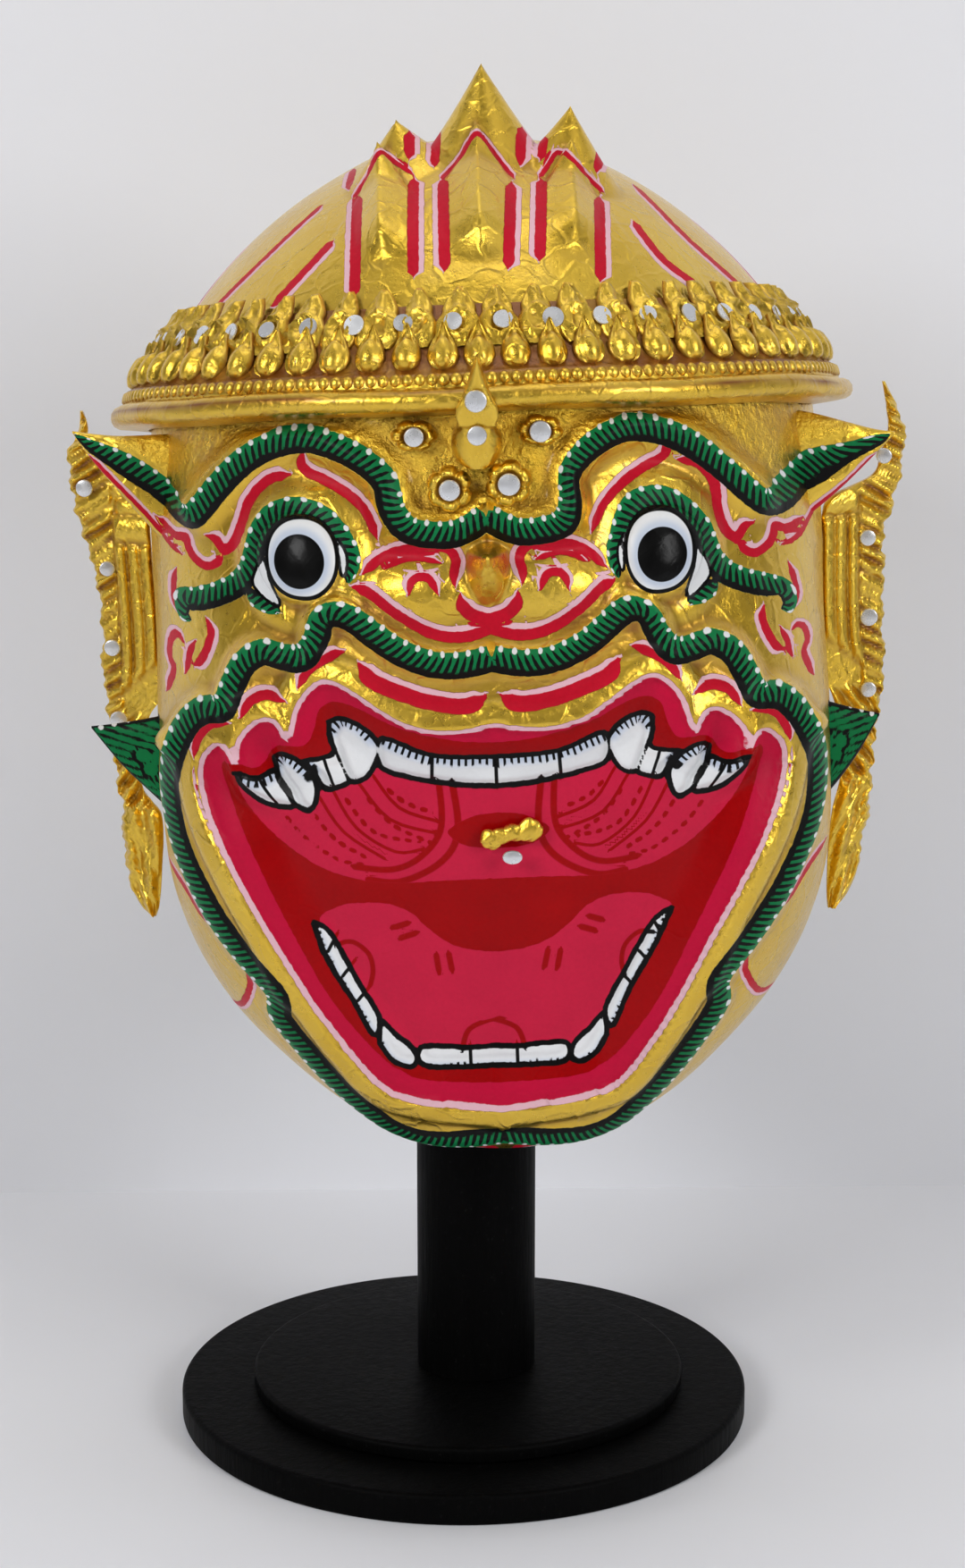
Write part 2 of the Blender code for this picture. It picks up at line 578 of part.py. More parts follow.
def make_flap(name, side, finishes, collection, seat):
    """Ear flap: a ribbed sheet from the head's side to its flame edge, swept back, with thickness."""
    bm = bmesh.new()
    bmesh.ops.create_grid(bm, x_segments=FLAP_COLUMNS, y_segments=FLAP_ROWS, size=1)
    for vertex in bm.verts:
        share, fall = (vertex.co.x + 1) / 2, (1 - vertex.co.y) / 2
        outer_x, z = smooth_through(FLAP_OUTER, fall * (len(FLAP_OUTER) - 1))
        inner_x = side_width(z) + FLAP_SEAT + FLAP_CLEAR * ease((FLAP_TONGUE - z) / 20)
        curl_foot, curl_height, tip_width = FLAP_CURL
        inner_x = max(inner_x, outer_x - FLAP_WIDTH * (1 - ease((z - curl_foot) / curl_height)) - tip_width)
        x = inner_x + (outer_x - inner_x) * share
        if share < FLAP_RIB_SHARE:
            rib = FLAP_RIB_DEPTH * cos(2 * pi * FLAP_RIBS * share)
        else:
            rib = FLAP_FLAME_DEPTH * cos(2 * pi * FLAP_FLAMES * fall)
        vertex.co = Vector((side * x, flap_y(x) - rib, z)) * MM
    made = add_object(bm, f"ear_ornament_{name}", finishes["gilt"], collection, seat)
    wall = made.modifiers.new("sheet", "SOLIDIFY")
    wall.thickness = FLAP_THICKNESS * MM
    wall.offset = 1 if side < 0 else -1
    for number, (x, z) in enumerate(FLAP_MIRRORS, 1):
        mirror_piece(f"mirror_flap_{name}_{number}", side * x, flap_y(x) - FLAP_MIRROR_LIFT, z, finishes["mirror"],
                     collection, seat)


def make_stand(finish, collection):
    def disc(name, radius, foot, height, shift):
        inner, low, high = radius - EDGE_ROUND, foot + EDGE_ROUND, foot + height - EDGE_ROUND
        bm = turned(((0, foot), (inner, foot), (radius, low), (radius, high), (inner, foot + height),
                     (0, foot + height)), ROUND_STEPS)
        bm.transform(Matrix.Scale(MM, 4) @ Matrix.Translation((shift, 0, 0)))
        add_object(bm, name, finish, collection, sharp=50)

    disc("stand_base", BASE_RADIUS, 0, BASE_HEIGHT, 0)
    step_foot = BASE_HEIGHT + GAP
    disc("stand_step", STEP_RADIUS, step_foot, STEP_HEIGHT, STEP_SHIFT)
    foot = step_foot + STEP_HEIGHT + GAP
    crown = STATIONS[0][0][1] - WALL
    top = crown - POST_CLEAR
    dome = [(POST_RADIUS * sin(turn), top - POST_DOME * (1 - cos(turn)))
            for turn in (0, pi / 8, pi / 4, 3 * pi / 8, pi / 2)]
    bm = turned([(0, foot), (POST_RADIUS, foot)] + dome[::-1], POST_SIDES)
    bm.transform(Matrix.Scale(MM, 4) @ Matrix.Translation((POST_SHIFT, 0, 0)))
    add_object(bm, "stand_post", finish, collection, sharp=50)


def make_seat(collection):
    """Empty that carries the mask: rolled and turned a little on the post."""
    seat = bpy.data.objects.new("mask_seat", None)
    collection.objects.link(seat)
    turn = Matrix.Rotation(-MASK_ROLL, 4, "Y") @ Matrix.Rotation(MASK_YAW, 4, "Z")
    pivot = Vector((0, 0, MASK_PIVOT)) * MM
    seat.rotation_euler = turn.to_euler()
    seat.location = pivot + Vector((POST_SHIFT, 0, 0)) * MM - turn @ pivot
    return seat


def main():
    clear_scene()
    collection = bpy.data.collections.new(COLLECTION_NAME)
    helpers = bpy.data.collections.new("tools")
    bpy.context.scene.collection.children.link(collection)
    bpy.context.scene.collection.children.link(helpers)
    finishes = {
        "gilt": material("gilt_lacquer", (0.72, 0.47, 0.12), 0.3, 1.0),
        "mirror": material("mirror_glass", (0.85, 0.87, 0.88), 0.05, 1.0),
        "black": material("black_paint", (0.012, 0.012, 0.014), 0.45),
    }
    seat = make_seat(collection)
    make_stand(finishes["black"], collection)
    shell = make_shell(finishes["gilt"], collection, seat)
    add_leaves(shell, finishes["gilt"], helpers, seat)
    make_band(finishes["gilt"], collection, seat)
    make_bosses(finishes, collection, seat)
    make_finial(finishes, collection, seat)
    make_mouth_jewel(finishes, collection, seat)
    for name, side in (("left", -1), ("right", 1)):
        make_flap(name, side, finishes, collection, seat)


main()
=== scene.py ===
"""Looks of a gilded papier-mache dance mask on its black turned stand.

A Blender add-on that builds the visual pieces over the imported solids: the painted mask, its diadem,
forehead flowers, mouth jewel, ear flaps, little mirrors, the stand, and a plain studio.
The face is modelled in the mask's own frame in millimetres, and seated on the post at the end.
"""

from math import cos, pi, radians, sin

import bmesh
import bpy
import numpy as np
from bpy.props import FloatProperty, FloatVectorProperty, IntProperty, PointerProperty
from mathutils import Matrix, Vector


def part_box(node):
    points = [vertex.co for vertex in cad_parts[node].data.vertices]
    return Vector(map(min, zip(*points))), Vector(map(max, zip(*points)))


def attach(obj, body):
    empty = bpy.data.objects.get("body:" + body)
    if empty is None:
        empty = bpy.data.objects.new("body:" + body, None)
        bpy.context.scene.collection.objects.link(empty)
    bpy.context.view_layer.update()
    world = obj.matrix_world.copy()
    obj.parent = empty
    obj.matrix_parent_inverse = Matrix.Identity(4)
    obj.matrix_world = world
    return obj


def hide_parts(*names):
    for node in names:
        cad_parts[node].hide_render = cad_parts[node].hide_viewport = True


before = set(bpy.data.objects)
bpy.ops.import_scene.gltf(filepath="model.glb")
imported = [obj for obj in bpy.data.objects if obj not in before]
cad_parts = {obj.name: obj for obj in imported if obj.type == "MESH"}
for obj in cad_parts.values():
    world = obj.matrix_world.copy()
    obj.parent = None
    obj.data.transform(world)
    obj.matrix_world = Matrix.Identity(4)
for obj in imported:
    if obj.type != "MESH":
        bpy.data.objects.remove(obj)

bl_info = {
    "name": "Gilded dance mask",
    "version": (1, 0, 0),
    "blender": (4, 5, 0),
    "location": "View3D > Sidebar > Mask",
    "description": "Builds a painted and gilded papier-mache dance mask on its stand",
    "category": "Object",
}

MM = 0.001

# Head form, crown to rim. Each station is one level line round the head:
# front (depth y, height z), side (half width x, z), nape (y, z), boxiness of face and of nape
STATIONS = (
    ((0, 397.5), (0, 397.5), (0, 397.5), 2.0, 2.0),
    ((-24, 395), (21, 395.5), (25, 395), 2.0, 2.0),
    ((-46, 388), (39, 388), (47, 386.5), 2.0, 2.0),
    ((-66, 376), (57.5, 376.5), (69, 373), 2.05, 2.05),
    ((-81, 361), (75, 361), (88, 355), 2.1, 2.1),
    ((-91, 345), (88, 344.5), (102.5, 336), 2.15, 2.1),
    ((-97, 328), (96, 327), (112.5, 313), 2.2, 2.15),
    ((-100, 308), (99, 306), (117, 290), 2.3, 2.2),
    ((-103.5, 285), (99.5, 283), (118, 266), 2.5, 2.25),
    ((-109.5, 260), (99, 259), (116, 244), 2.8, 2.3),
    ((-113, 235), (99.5, 235), (113, 226), 3.1, 2.3),
    ((-112.5, 210), (99.3, 212), (109, 213), 3.3, 2.35),
    ((-109.5, 186), (98.5, 191), (105, 204), 3.1, 2.35),
    ((-106.5, 163), (94.5, 173), (101, 198), 2.7, 2.3),
    ((-102, 143), (88.5, 160), (97.5, 194), 2.4, 2.25),
    ((-96, 126), (81.5, 150.5), (94, 191), 2.1, 2.2),
    ((-84, 115), (76, 145.5), (91, 189), 2.0, 2.2),
    ((-70, 112), (73, 142.5), (88.5, 187.5), 1.95, 2.2),
)
LEVELS = len(STATIONS) - 1
MASK_ROLL = radians(2.3)
MASK_YAW = radians(0.3)
MASK_PIVOT = 360.0
POST_SHIFT = 4.0

# Green bands: (half width x, height z) along the middle, from the nose or the inner corner outwards
BROW_LINE = ((0, 300.5), (8, 296.5), (16, 296.5), (22, 298.5), (25.5, 304), (27, 311), (33, 316.5),
             (41, 320.5), (49, 322), (58, 320), (66, 315.5), (73, 309), (80, 301), (83.5, 299),
             (88, 300.8), (94, 304.8), (99.5, 307.8), (105.5, 310.6), (111, 312.8), (116, 315.4))
MOUSTACHE_LINE = ((0, 263), (8, 261.5), (16, 262), (24, 265), (31, 269.5), (37, 274), (41.5, 276),
                  (45.5, 274.5), (47.5, 269), (51, 264.5), (56.5, 264), (62.5, 265), (68, 261.5),
                  (71.5, 255.5), (74.5, 249.5), (80.5, 248), (85.5, 243.5), (89.5, 236))
JAW_LINE = ((92.5, 227), (92.5, 218.5), (90, 208.5), (85.5, 199.5), (80, 190), (72, 179.5),
            (62.5, 168.5), (62, 160), (55.5, 150), (48, 140), (39.5, 130.5), (31, 123), (20, 121),
            (0, 124.5))
EYE_LINE = ((38, 284), (37.2, 288.5), (38.2, 293), (41, 298), (45, 301.6), (50, 303.3), (55, 303),
            (59, 300.7), (62, 296.5), (63.8, 291), (65.6, 286.4), (68.6, 282.6), (72.5, 280),
            (77.5, 277.8), (82, 276.3), (86, 275.3), (86.2, 271.6), (84, 270.4))
LID_LINE = ((66.5, 279.6), (62, 278.2), (57, 275.9))
BANDS = (  # line, half width, how far the taper runs from its start and its end
    (BROW_LINE, 3.7, 0.1, 17.0),
    (MOUSTACHE_LINE + JAW_LINE, 3.6, 0.1, 0.1),
    (EYE_LINE, 3.2, 7.0, 6.0),
    (LID_LINE, 2.6, 2.0, 4.0),
)

# Outlines of the mouth, mirrored
LIP_LINE = ((0, 244.5), (12.5, 243), (23.5, 245), (31.5, 249.5), (40.5, 255.5), (46.5, 257), (52.5, 251),
            (56, 241), (60.5, 246.5), (65.5, 245), (70, 239.5), (70.5, 231), (75, 238.5), (80, 235),
            (81.5, 229), (79.5, 220.5), (74.5, 208.5), (67.5, 195), (60, 182), (51, 166), (42, 152),
            (33.5, 141), (25, 137.5), (0, 135))
INNER_LINE = ((0, 240), (10, 240.9), (21.5, 243.6), (29.5, 246.6), (35, 249.5), (40.7, 251.7), (44.8, 251.6),
              (47.8, 249.4), (49.2, 244.3), (51.7, 240.4), (56.4, 240.1), (59.3, 239.9), (61.5, 238),
              (63.8, 234.5), (67, 233.4), (71.6, 234.6), (74.7, 234.5), (76, 232), (74.4, 227), (69.5, 213.5),
              (62.5, 197.8), (54.2, 181.4), (45.7, 165.5), (34.2, 150), (28, 144.8), (21, 142.3), (0, 141.2))
PALATE_LINE = ((0, 232), (30, 238), (44, 236), (54, 230), (64, 228), (71, 229.5), (69.1, 223.6), (63.5, 217),
               (55.6, 210.2), (46.5, 205.2), (37.4, 202.6), (28, 201.6), (14, 202), (0, 202))
THROAT_LENS = ((0, 220.8), (6, 220.2), (11, 218.4), (14, 216), (11, 212.8), (6, 211.2), (0, 210.8))
TONGUE_LINE = ((0, 180.3), (7, 181), (14, 183.5), (20, 188.3), (24.5, 192.8), (31, 195.5), (40, 195.8),
               (46, 194), (50, 190.5), (46, 183.5), (40, 172.5), (33, 160), (26, 151), (20, 148), (0, 148))
UPPER_TEETH = (
    ((0, 235.5), (17.2, 236.8), (30.5, 242), (31.7, 233.5), (23.1, 230.3), (17.7, 229.3), (9, 228), (0, 227.5)),
    ((45.1, 246.1), (41.5, 247), (36.4, 245.2), (32.5, 241.5), (31.6, 238), (33.3, 233.5), (36, 230.4),
     (40, 229.7), (42.2, 233), (44.2, 238.7), (45.2, 242.7)),
    ((52.4, 235.7), (45.5, 236.4), (43.7, 237.7), (40.5, 231), (41, 229.2), (47, 227.7), (49.5, 231.5)),
    ((60.7, 235.9), (58.3, 237.6), (54.3, 236), (50.8, 232.5), (49.3, 228.9), (49.9, 224.7), (52.2, 222.2),
     (55.9, 224), (57.3, 226.9), (59.8, 230.7)),
    ((72, 232.2), (66.4, 230.6), (61.2, 232.4), (59.7, 230.2), (56, 223.4), (62.5, 223.6), (67.1, 226.1),
     (70.6, 229.2)),
)
LOWER_TEETH = (
    ((50.8, 190.4), (46.5, 187.8), (42.5, 181.8), (37, 171.5), (31.8, 161.5), (33.6, 156), (38.7, 166.5),
     (44, 175.5), (47.6, 182.2)),
    ((31.8, 160.5), (29.8, 158.8), (27, 155.5), (22.9, 151.5), (21.8, 147.8), (24, 146), (28.5, 148),
     (32, 153.5)),
    ((0, 151.8), (7, 151.3), (13.5, 151.9), (20.6, 151.4), (20.2, 146.5), (10, 145.8), (0, 145.8)),
)
# Where the blue-grey roots and their ticks are
ROOT_LINES = (((0, 235.6), (17.2, 236.8), (30.5, 242)), ((45.2, 244), (41.5, 247), (36.4, 245.2), (33, 242)),
              ((60.5, 235.5), (58.3, 237.6), (54.3, 236), (51, 232.7)),
              ((72, 232.2), (66.4, 230.6), (61.2, 232.4)),
              ((49.5, 187), (44, 175.5), (38.7, 166.5), (33.6, 156)),
              ((32, 153.5), (28.5, 148), (24, 146)), ((20.2, 146), (0, 145.8)))
# Fine dark lines: between teeth, then folds of palate and gums; (points, half width)
FINE_LINES = (
    (((17.2, 237), (17.7, 229)), 0.4), (((0, 236), (0, 227)), 0.4), (((47.2, 236.4), (44.4, 228)), 0.35),
    (((65.5, 231), (60.5, 223.5)), 0.35), (((45, 186.5), (47.5, 181.5)), 0.4), (((40, 178.5), (43.5, 174)), 0.4),
    (((36, 170.5), (39.5, 166.5)), 0.4), (((6.6, 152), (6.6, 145.5)), 0.4),
    (((12.2, 229), (11, 218.2), (13, 210.9), (18.9, 205.4), (28, 201.9), (36, 202.8)), 0.75),
    (((15.8, 229), (15.4, 219.6), (17.4, 213.6), (23.3, 207.9), (30.3, 205.6), (40, 206.6)), 0.7),
    (((33.7, 231), (27, 222.9), (16.3, 219)), 0.35), (((38, 229.5), (29.6, 219.9), (17, 215.8)), 0.35),
    (((45.3, 228), (38.9, 217.7), (28.5, 210.8), (21, 211.4)), 0.35),
    (((49, 226), (42.4, 216.5), (31.5, 208.8)), 0.35),
    (((44.5, 183.5), (40.5, 184), (36.2, 180.5), (35, 175.5), (35.8, 171)), 0.55),
    (((8.8, 151), (6.6, 157), (0, 160)), 0.6), (((29.1, 188.4), (25.4, 189.6)), 0.7),
    (((27, 185.3), (23, 186.6)), 0.7), (((17.3, 179.8), (16.5, 174.8)), 0.65), (((13.8, 180.1), (12.9, 175.2)), 0.65),
)
DASHED_LINES = (((30.5, 228), (25, 224), (18, 221.5)), ((36, 226), (29, 218.5), (18, 212.8)),
                ((42, 226), (34, 216.5), (22, 213.5)), ((59, 221), (53, 214.5), (44.5, 208.7), (37, 207.2)),
                ((51, 222), (45, 214.5), (37, 209.5)))
DASH_PITCH = 3.4
LOW_ROOT_FADE = 1.5  # the lower teeth have weaker roots
FINE_WEIGHT = 1.3
STROKE_WEIGHT = 1.18  # how much broader the strokes are than their listed half widths

# Red strokes with a lilac line on one side: points, half width, side of the lilac line (+ is left)
STROKES = (
    (((49.1, 318.2), (49.7, 314.6), (47.5, 312.6), (43.7, 311), (37.5, 307.4), (32.9, 303), (31, 299),
      (29.9, 295.6)), 1.15, -1),
    (((53.3, 312.1), (58.3, 310.9), (62, 308.1), (65.1, 304.2), (66.7, 300.1), (68.4, 295.9), (70.3, 292.4),
      (73, 290.7), (75.2, 293.2), (77.8, 293.9)), 1.15, 1),
    (((93.7, 294.9), (90.5, 293.1), (87.5, 292.2), (84.6, 292.5), (83.9, 289.9), (82, 287.2), (78.5, 285.7),
      (75.4, 286.8), (73.1, 289.4)), 1.0, -1),
    (((112.5, 310.2), (104.5, 302.6), (97.5, 296), (92.5, 290.6), (86.4, 287.6)), 0.65, -1),
    (((88.3, 282.8), (89.2, 279.2), (89.3, 275), (87.9, 271.4)), 0.85, 1),
    (((78.7, 271.4), (77.6, 268.2), (78.9, 264), (81.3, 259.9), (83.4, 258.5)), 1.0, -1),
    (((82.7, 265), (84.5, 261.5), (85, 258.7), (86, 255.8)), 0.8, 1),
    (((86.4, 263.8), (88.5, 265.5), (90.8, 263.1), (91.5, 258.6), (90, 255.9), (91.2, 252), (92.8, 248.5)), 0.85, 1),
    (((33.8, 286.4), (28.7, 290), (23.1, 292.3), (17.7, 293.2), (12.8, 293.1), (9.8, 291.7), (8.6, 288.9),
      (9.3, 285.8), (9.2, 283.1)), 1.1, -1),
    (((27.8, 287.6), (23.8, 289.4), (19.4, 290.1), (15.3, 289.5), (12.7, 288.6)), 0.6, -1),
    (((21.5, 280.9), (21.1, 283.6), (19.1, 285.4), (16.3, 285.2), (14.9, 283.4), (14, 281.1)), 0.95, -1),
    (((36.6, 283.1), (31.8, 280.6), (27.2, 276.9), (21.8, 273.1), (17.1, 270.4), (12.4, 268.9), (7.4, 268.7),
      (2.9, 269.6), (0, 270.8)), 1.25, -1),
    (((7.9, 279.9), (7.4, 277.3), (5.1, 274.6), (1.6, 273.2), (0, 272.9)), 1.5, -1),
    (((35.7, 262), (32.5, 258), (23.5, 254), (15.4, 251.5), (7.2, 250.6), (2.3, 252.6)), 1.6, -1),
    (((40.2, 265.6), (45.4, 263.9), (50.2, 260.5), (52.7, 256.5)), 1.0, 1),
    (((57, 252.5), (61.7, 253.8), (66.6, 251.8), (69.2, 247.6)), 1.0, 1),
    (((73, 245.5), (78, 244.7), (82, 240.5), (83.8, 235)), 1.0, 1),
    (((84, 232), (82.4, 224), (77, 212), (70, 198.5)), 0.35, 1),
    (((96.8, 198.6), (90, 194.9), (83.2, 186.6)), 0.8, -1),
    (((71, 173.5), (70.6, 167.8), (74.9, 157.9), (81, 154.9)), 0.8, -1),
    (((9, 118), (4.5, 117.6), (2, 114.2)), 1.2, 1),
)
# Crown strokes, in the slanting view that the camera has: x, height seen; half width, lilac side
CROWN_SLANT = radians(12.9)
CROWN_STROKES = (
    (((-32.5, 364.5), (-33.4, 333.5)), 1.35, -1), (((-16.5, 368.4), (-17.2, 337.6)), 1.35, 1),
    (((-8.2, 367.3), (-8.5, 338.8)), 1.35, -1), (((10.8, 365), (8.9, 338.7)), 1.35, 1),
    (((19.4, 366.7), (17.6, 340.9)), 1.35, -1), (((35.4, 361.2), (34, 334.9)), 1.35, 1),
    (((-33.8, 365.0), (-29.5, 371.0), (-25.6, 376.8), (-21.3, 374.0), (-16.9, 370.4)), 0.6, 1),
    (((-8.9, 368.0), (-3.2, 374.4), (1.9, 380.8), (7.0, 374.5), (11.7, 367.6)), 0.6, 1),
    (((18.9, 368.0), (21.6, 371.7), (24.8, 375.3), (30.6, 369.8), (36.8, 363.6)), 0.6, 1),
    (((-34.5, 378.4), (-35.3, 369)), 1.0, -1), (((-17.3, 383.2), (-17.5, 375.5)), 1.3, 1),
    (((-9.4, 386.5), (-10.5, 373)), 1.1, -1), (((14.6, 383.7), (13.7, 372.5)), 1.3, 1),
    (((20.9, 380.8), (19.7, 374)), 1.1, -1), (((37.5, 379.2), (35.4, 370)), 1.1, 1),
    (((4.2, 408), (6.4, 402), (9.4, 396)), 0.8, 1), (((1.2, 406), (-3.7, 394)), 0.5, -1),
    (((30.1, 393.5), (34.3, 383)), 0.9, 1),
    (((-43.1, 364.7), (-59.9, 349.6), (-76.1, 335.9)), 0.6, 1),
    (((-39.7, 350.5), (-48.6, 341.4), (-56.8, 333.1)), 0.95, 1),
    (((-66.3, 360), (-76, 350.4), (-86, 337)), 0.6, 1),
    (((46.6, 369.4), (60.4, 351), (77.7, 335.1)), 0.7, -1), (((44.8, 354), (52.1, 342.3), (62.2, 334.3)), 0.95, -1),
    (((63.9, 362), (75.4, 350.7), (87, 335)), 0.5, -1),
)

# How far the right half sits nearer the nose and lower than the drawn left one, and how much lower the mouth is
RIGHT_INWARD = 3.9
MOUTH_INWARD = 2.0
BROW_INWARD = 4.6  # the right brow and the ring round the eye, beyond the rest
RIGHT_DROP = 1.7
CHEEK_DROP = 3.3
MOUTH_DROP = 1.8
PAINT_BACK = -38.0  # the face's painting ends behind the ears
EYE = (50.0, 289.4)  # middle of the bulge
EYE_WHITE = (50.3, 291.0, 9.1, 10.1)
PUPIL = (51.0, 290.2, 6.9, 7.3)
EYE_CORNERS = (((61.0, 290.5), (64.2, 284), (62, 280.5), (57.6, 277.8), (58.6, 281.5), (60, 285.5)),
               ((40.4, 295), (38.9, 292.5), (38.4, 289.5), (39.3, 286.2), (39.8, 290.5)))
EYE_RADII = (11.2, 12.5)
EYE_RISE = 6.0
LID_WIDTH = 0.55
LID_RISE = 2.8
NOSE = (0.0, 289.0)
NOSE_REACH = (6.3, 4.5, 13.0)  # sideways, up, down
NOSE_RISE = 15.0
NOSTRIL = (17.0, 281.5)
NOSTRIL_RADII = (18.0, 10.0)
NOSTRIL_RISE = 5.0
BROW_RISE = 5.0
MOUSTACHE_RISE = 3.6
LIP_RISE = 3.0
JAW_RISE = 2.2
MOUTH_DEPTH = 7.0
MOUTH_SLOPE = 14.0
TOOTH_RISE = 2.0
WING_LINE = ((91, 238.5), (94.5, 237), (101, 235.5), (108, 234.3), (114.5, 233.2), (111.5, 228), (108, 222.8),
             (101, 214.5), (94.5, 207.5), (91, 204), (90, 215), (90, 228))
WING_SCROLL = (99.3, 223.8)
WING_VEIN_PITCH = 2.3
WING_DOTS = ((97.5, 238.3), (101.3, 236.9), (105, 235.4), (108.6, 234.3), (112, 233.2))

# Crown: three peaks, and a creased petal below each.
# Peaks: x, depth, height, radius; petals: x, half width, height seen of its point
PEAKS = ((3.8, -27.0, 24.6, 18.0), (-21.0, -31.0, 13.5, 15.0), (28.6, -31.0, 17.9, 14.0))
PETALS = ((1.5, 9.6, 381.4), (-24.8, 8.6, 377.2), (26.6, 8.8, 375.8))
PETAL_RISE = 5.2
PETAL_FOOT = 340.0
PEAK_SHARPNESS = 1.2
PEAK_FLATNESS = 1.15

# Ears and cheek wings
# Top edge and foot edge on each side, from root to tip: half width x, height z
EARS = {
    -1: (((86, 319.5), (94, 319.3), (104, 319.4), (112, 320.4), (117, 321.3)),
         ((86, 283), (94, 290), (103, 301.2), (111.5, 312.2), (117, 320.7))),
    1: (((86, 319.5), (94, 318), (104, 315), (112, 312.6), (117.8, 311.6)),
        ((86, 284.5), (94, 289.5), (103, 296.8), (111.5, 304.8), (117.8, 311))),
}
EAR_LEAN = 4.7  # the left ear's tip is so much higher, and the right one's lower, than the drawn bands
EAR_DEPTH = -44.0
EAR_THICKNESS = 11.0
WINGS = {
    -1: (((94.5, 238.2), (101, 237.2), (109, 236.2), (117, 235.6)),
         ((94.5, 208.5), (101.5, 215.8), (109, 224), (117, 235))),
    1: (((94.5, 235.2), (100.5, 233.2), (106.5, 231.4), (112, 230)),
        ((94.5, 204.5), (100.3, 211.2), (106, 219), (112, 229.4))),
}
WING_FIT = {-1: (1.125, 1.2, 2.2), 1: (0.875, -2.0, -3.3)}  # stretch sideways, lift at root and at tip
WING_DEPTH = -46.0
WING_THICKNESS = 9.0

# Diadem band
BAND_HEIGHT = 318.3
BAND_TILT = 0.13
BAND_CLEAR = 4.0
FAR = 60.0  # mm, for paint that is nowhere near


def smooth_through(rows, at):
    """Catmull-Rom curve through rows of numbers, read at positions 0 to len(rows) - 1."""
    rows = np.asarray(rows, float)
    last = len(rows) - 1
    at = np.clip(np.asarray(at, float), 0, last)
    low = np.minimum(at.astype(int), last - 1)
    u = (at - low)[..., None]
    before, here = rows[np.maximum(low - 1, 0)], rows[low]
    there, after = rows[low + 1], rows[np.minimum(low + 2, last)]
    return 0.5 * (2 * here + (there - before) * u + (2 * before - 5 * here + 4 * there - after) * u**2
                  + (3 * here - before - 3 * there + after) * u**3)


def smooth_line(points, steps=6):
    return smooth_through(points, np.linspace(0, len(points) - 1, (len(points) - 1) * steps + 1))


def ease(value):
    value = np.clip(value, 0, 1)
    return value * value * (3 - 2 * value)


def ridge(distance, half_width):
    return (1 - np.clip(distance / half_width, 0, 1)**2)**2


def head_point(azimuth, level):
    """Point of the bare head form in mm; azimuth 0 is the face, pi the nape."""
    flat = [[*front, *side, *nape, face_box, nape_box]
            for front, side, nape, face_box, nape_box in STATIONS]
    rows = smooth_through(flat, level)
    front_y, front_z, side_x, side_z, nape_y, nape_z, face_box, nape_box = np.moveaxis(rows, -1, 0)
    across, along = np.sin(azimuth), np.cos(azimuth)
    depth = np.where(along >= 0, -front_y, nape_y) + 1e-6
    height = np.where(along >= 0, front_z, nape_z)
    box = np.where(along >= 0, face_box, nape_box)
    reach = ((np.abs(across) / (side_x + 1e-6))**box + (np.abs(along) / depth)**box)**(-1 / box)
    share = (reach * np.abs(along) / depth)**1.5
    return np.stack([reach * across, -reach * along, side_z + (height - side_z) * share], -1)


def head_normal(azimuth, level):
    step = 1e-3
    level = np.clip(level, 0.02, LEVELS - 0.02)
    round_head = head_point(azimuth + step, level) - head_point(azimuth - step, level)
    down_head = head_point(azimuth, level + step) - head_point(azimuth, level - step)
    normal = np.cross(down_head, round_head)
    return normal / np.linalg.norm(normal, axis=-1, keepdims=True)


def along_line(x, z, points, steps=6):
    """Signed distance from a smooth line (+ on its left) and how far along it the nearest point is."""
    line = smooth_line(points, steps)
    best = np.full(np.shape(x), 1e9)
    side = np.zeros(np.shape(x))
    run = np.zeros(np.shape(x))
    start = 0.0
    for (ax, az), (bx, bz) in zip(line[:-1], line[1:]):
        dx, dz = bx - ax, bz - az
        length = np.hypot(dx, dz)
        along = np.clip(((x - ax) * dx + (z - az) * dz) / (length * length + 1e-12), 0, 1)
        away = np.hypot(x - ax - along * dx, z - az - along * dz)
        nearer = away < best
        best = np.where(nearer, away, best)
        side = np.where(nearer, np.sign(dx * (z - az) - dz * (x - ax)) * away, side)
        run = np.where(nearer, start + along * length, run)
        start += length
    return side, run, start


def distance_to(x, z, points):
    return np.abs(along_line(x, z, points)[0])


def area_edge(x, z, points, steps=6):
    """Signed distance from a closed outline that is drawn on one half: negative inside."""
    line = smooth_line(points, steps)
    loop = zip(line, np.roll(line, -1, axis=0))
    best = np.full(np.shape(x), 1e9)
    inside = np.zeros(np.shape(x), bool)
    for (ax, az), (bx, bz) in loop:
        spans = (az > z) != (bz > z)
        inside ^= spans & (x < ax + (z - az) * (bx - ax) / (bz - az + 1e-12))
        if max(ax, bx) < 0.01:
            continue
        dx, dz = bx - ax, bz - az
        along = np.clip(((x - ax) * dx + (z - az) * dz) / (dx * dx + dz * dz + 1e-12), 0, 1)
        best = np.minimum(best, np.hypot(x - ax - along * dx, z - az - along * dz))
    return np.where(inside, -best, best)


def dome_over(x, z, centre, radii):
    return np.clip(1 - ((x - centre[0]) / radii[0])**2 - ((z - centre[1]) / radii[1])**2, 0, 1)


def mouth_lean(z, amount=-1.8):
    """The painter's mouth leans off the mask's axis as it goes down."""
    return amount * ease((215 - z) / 50)


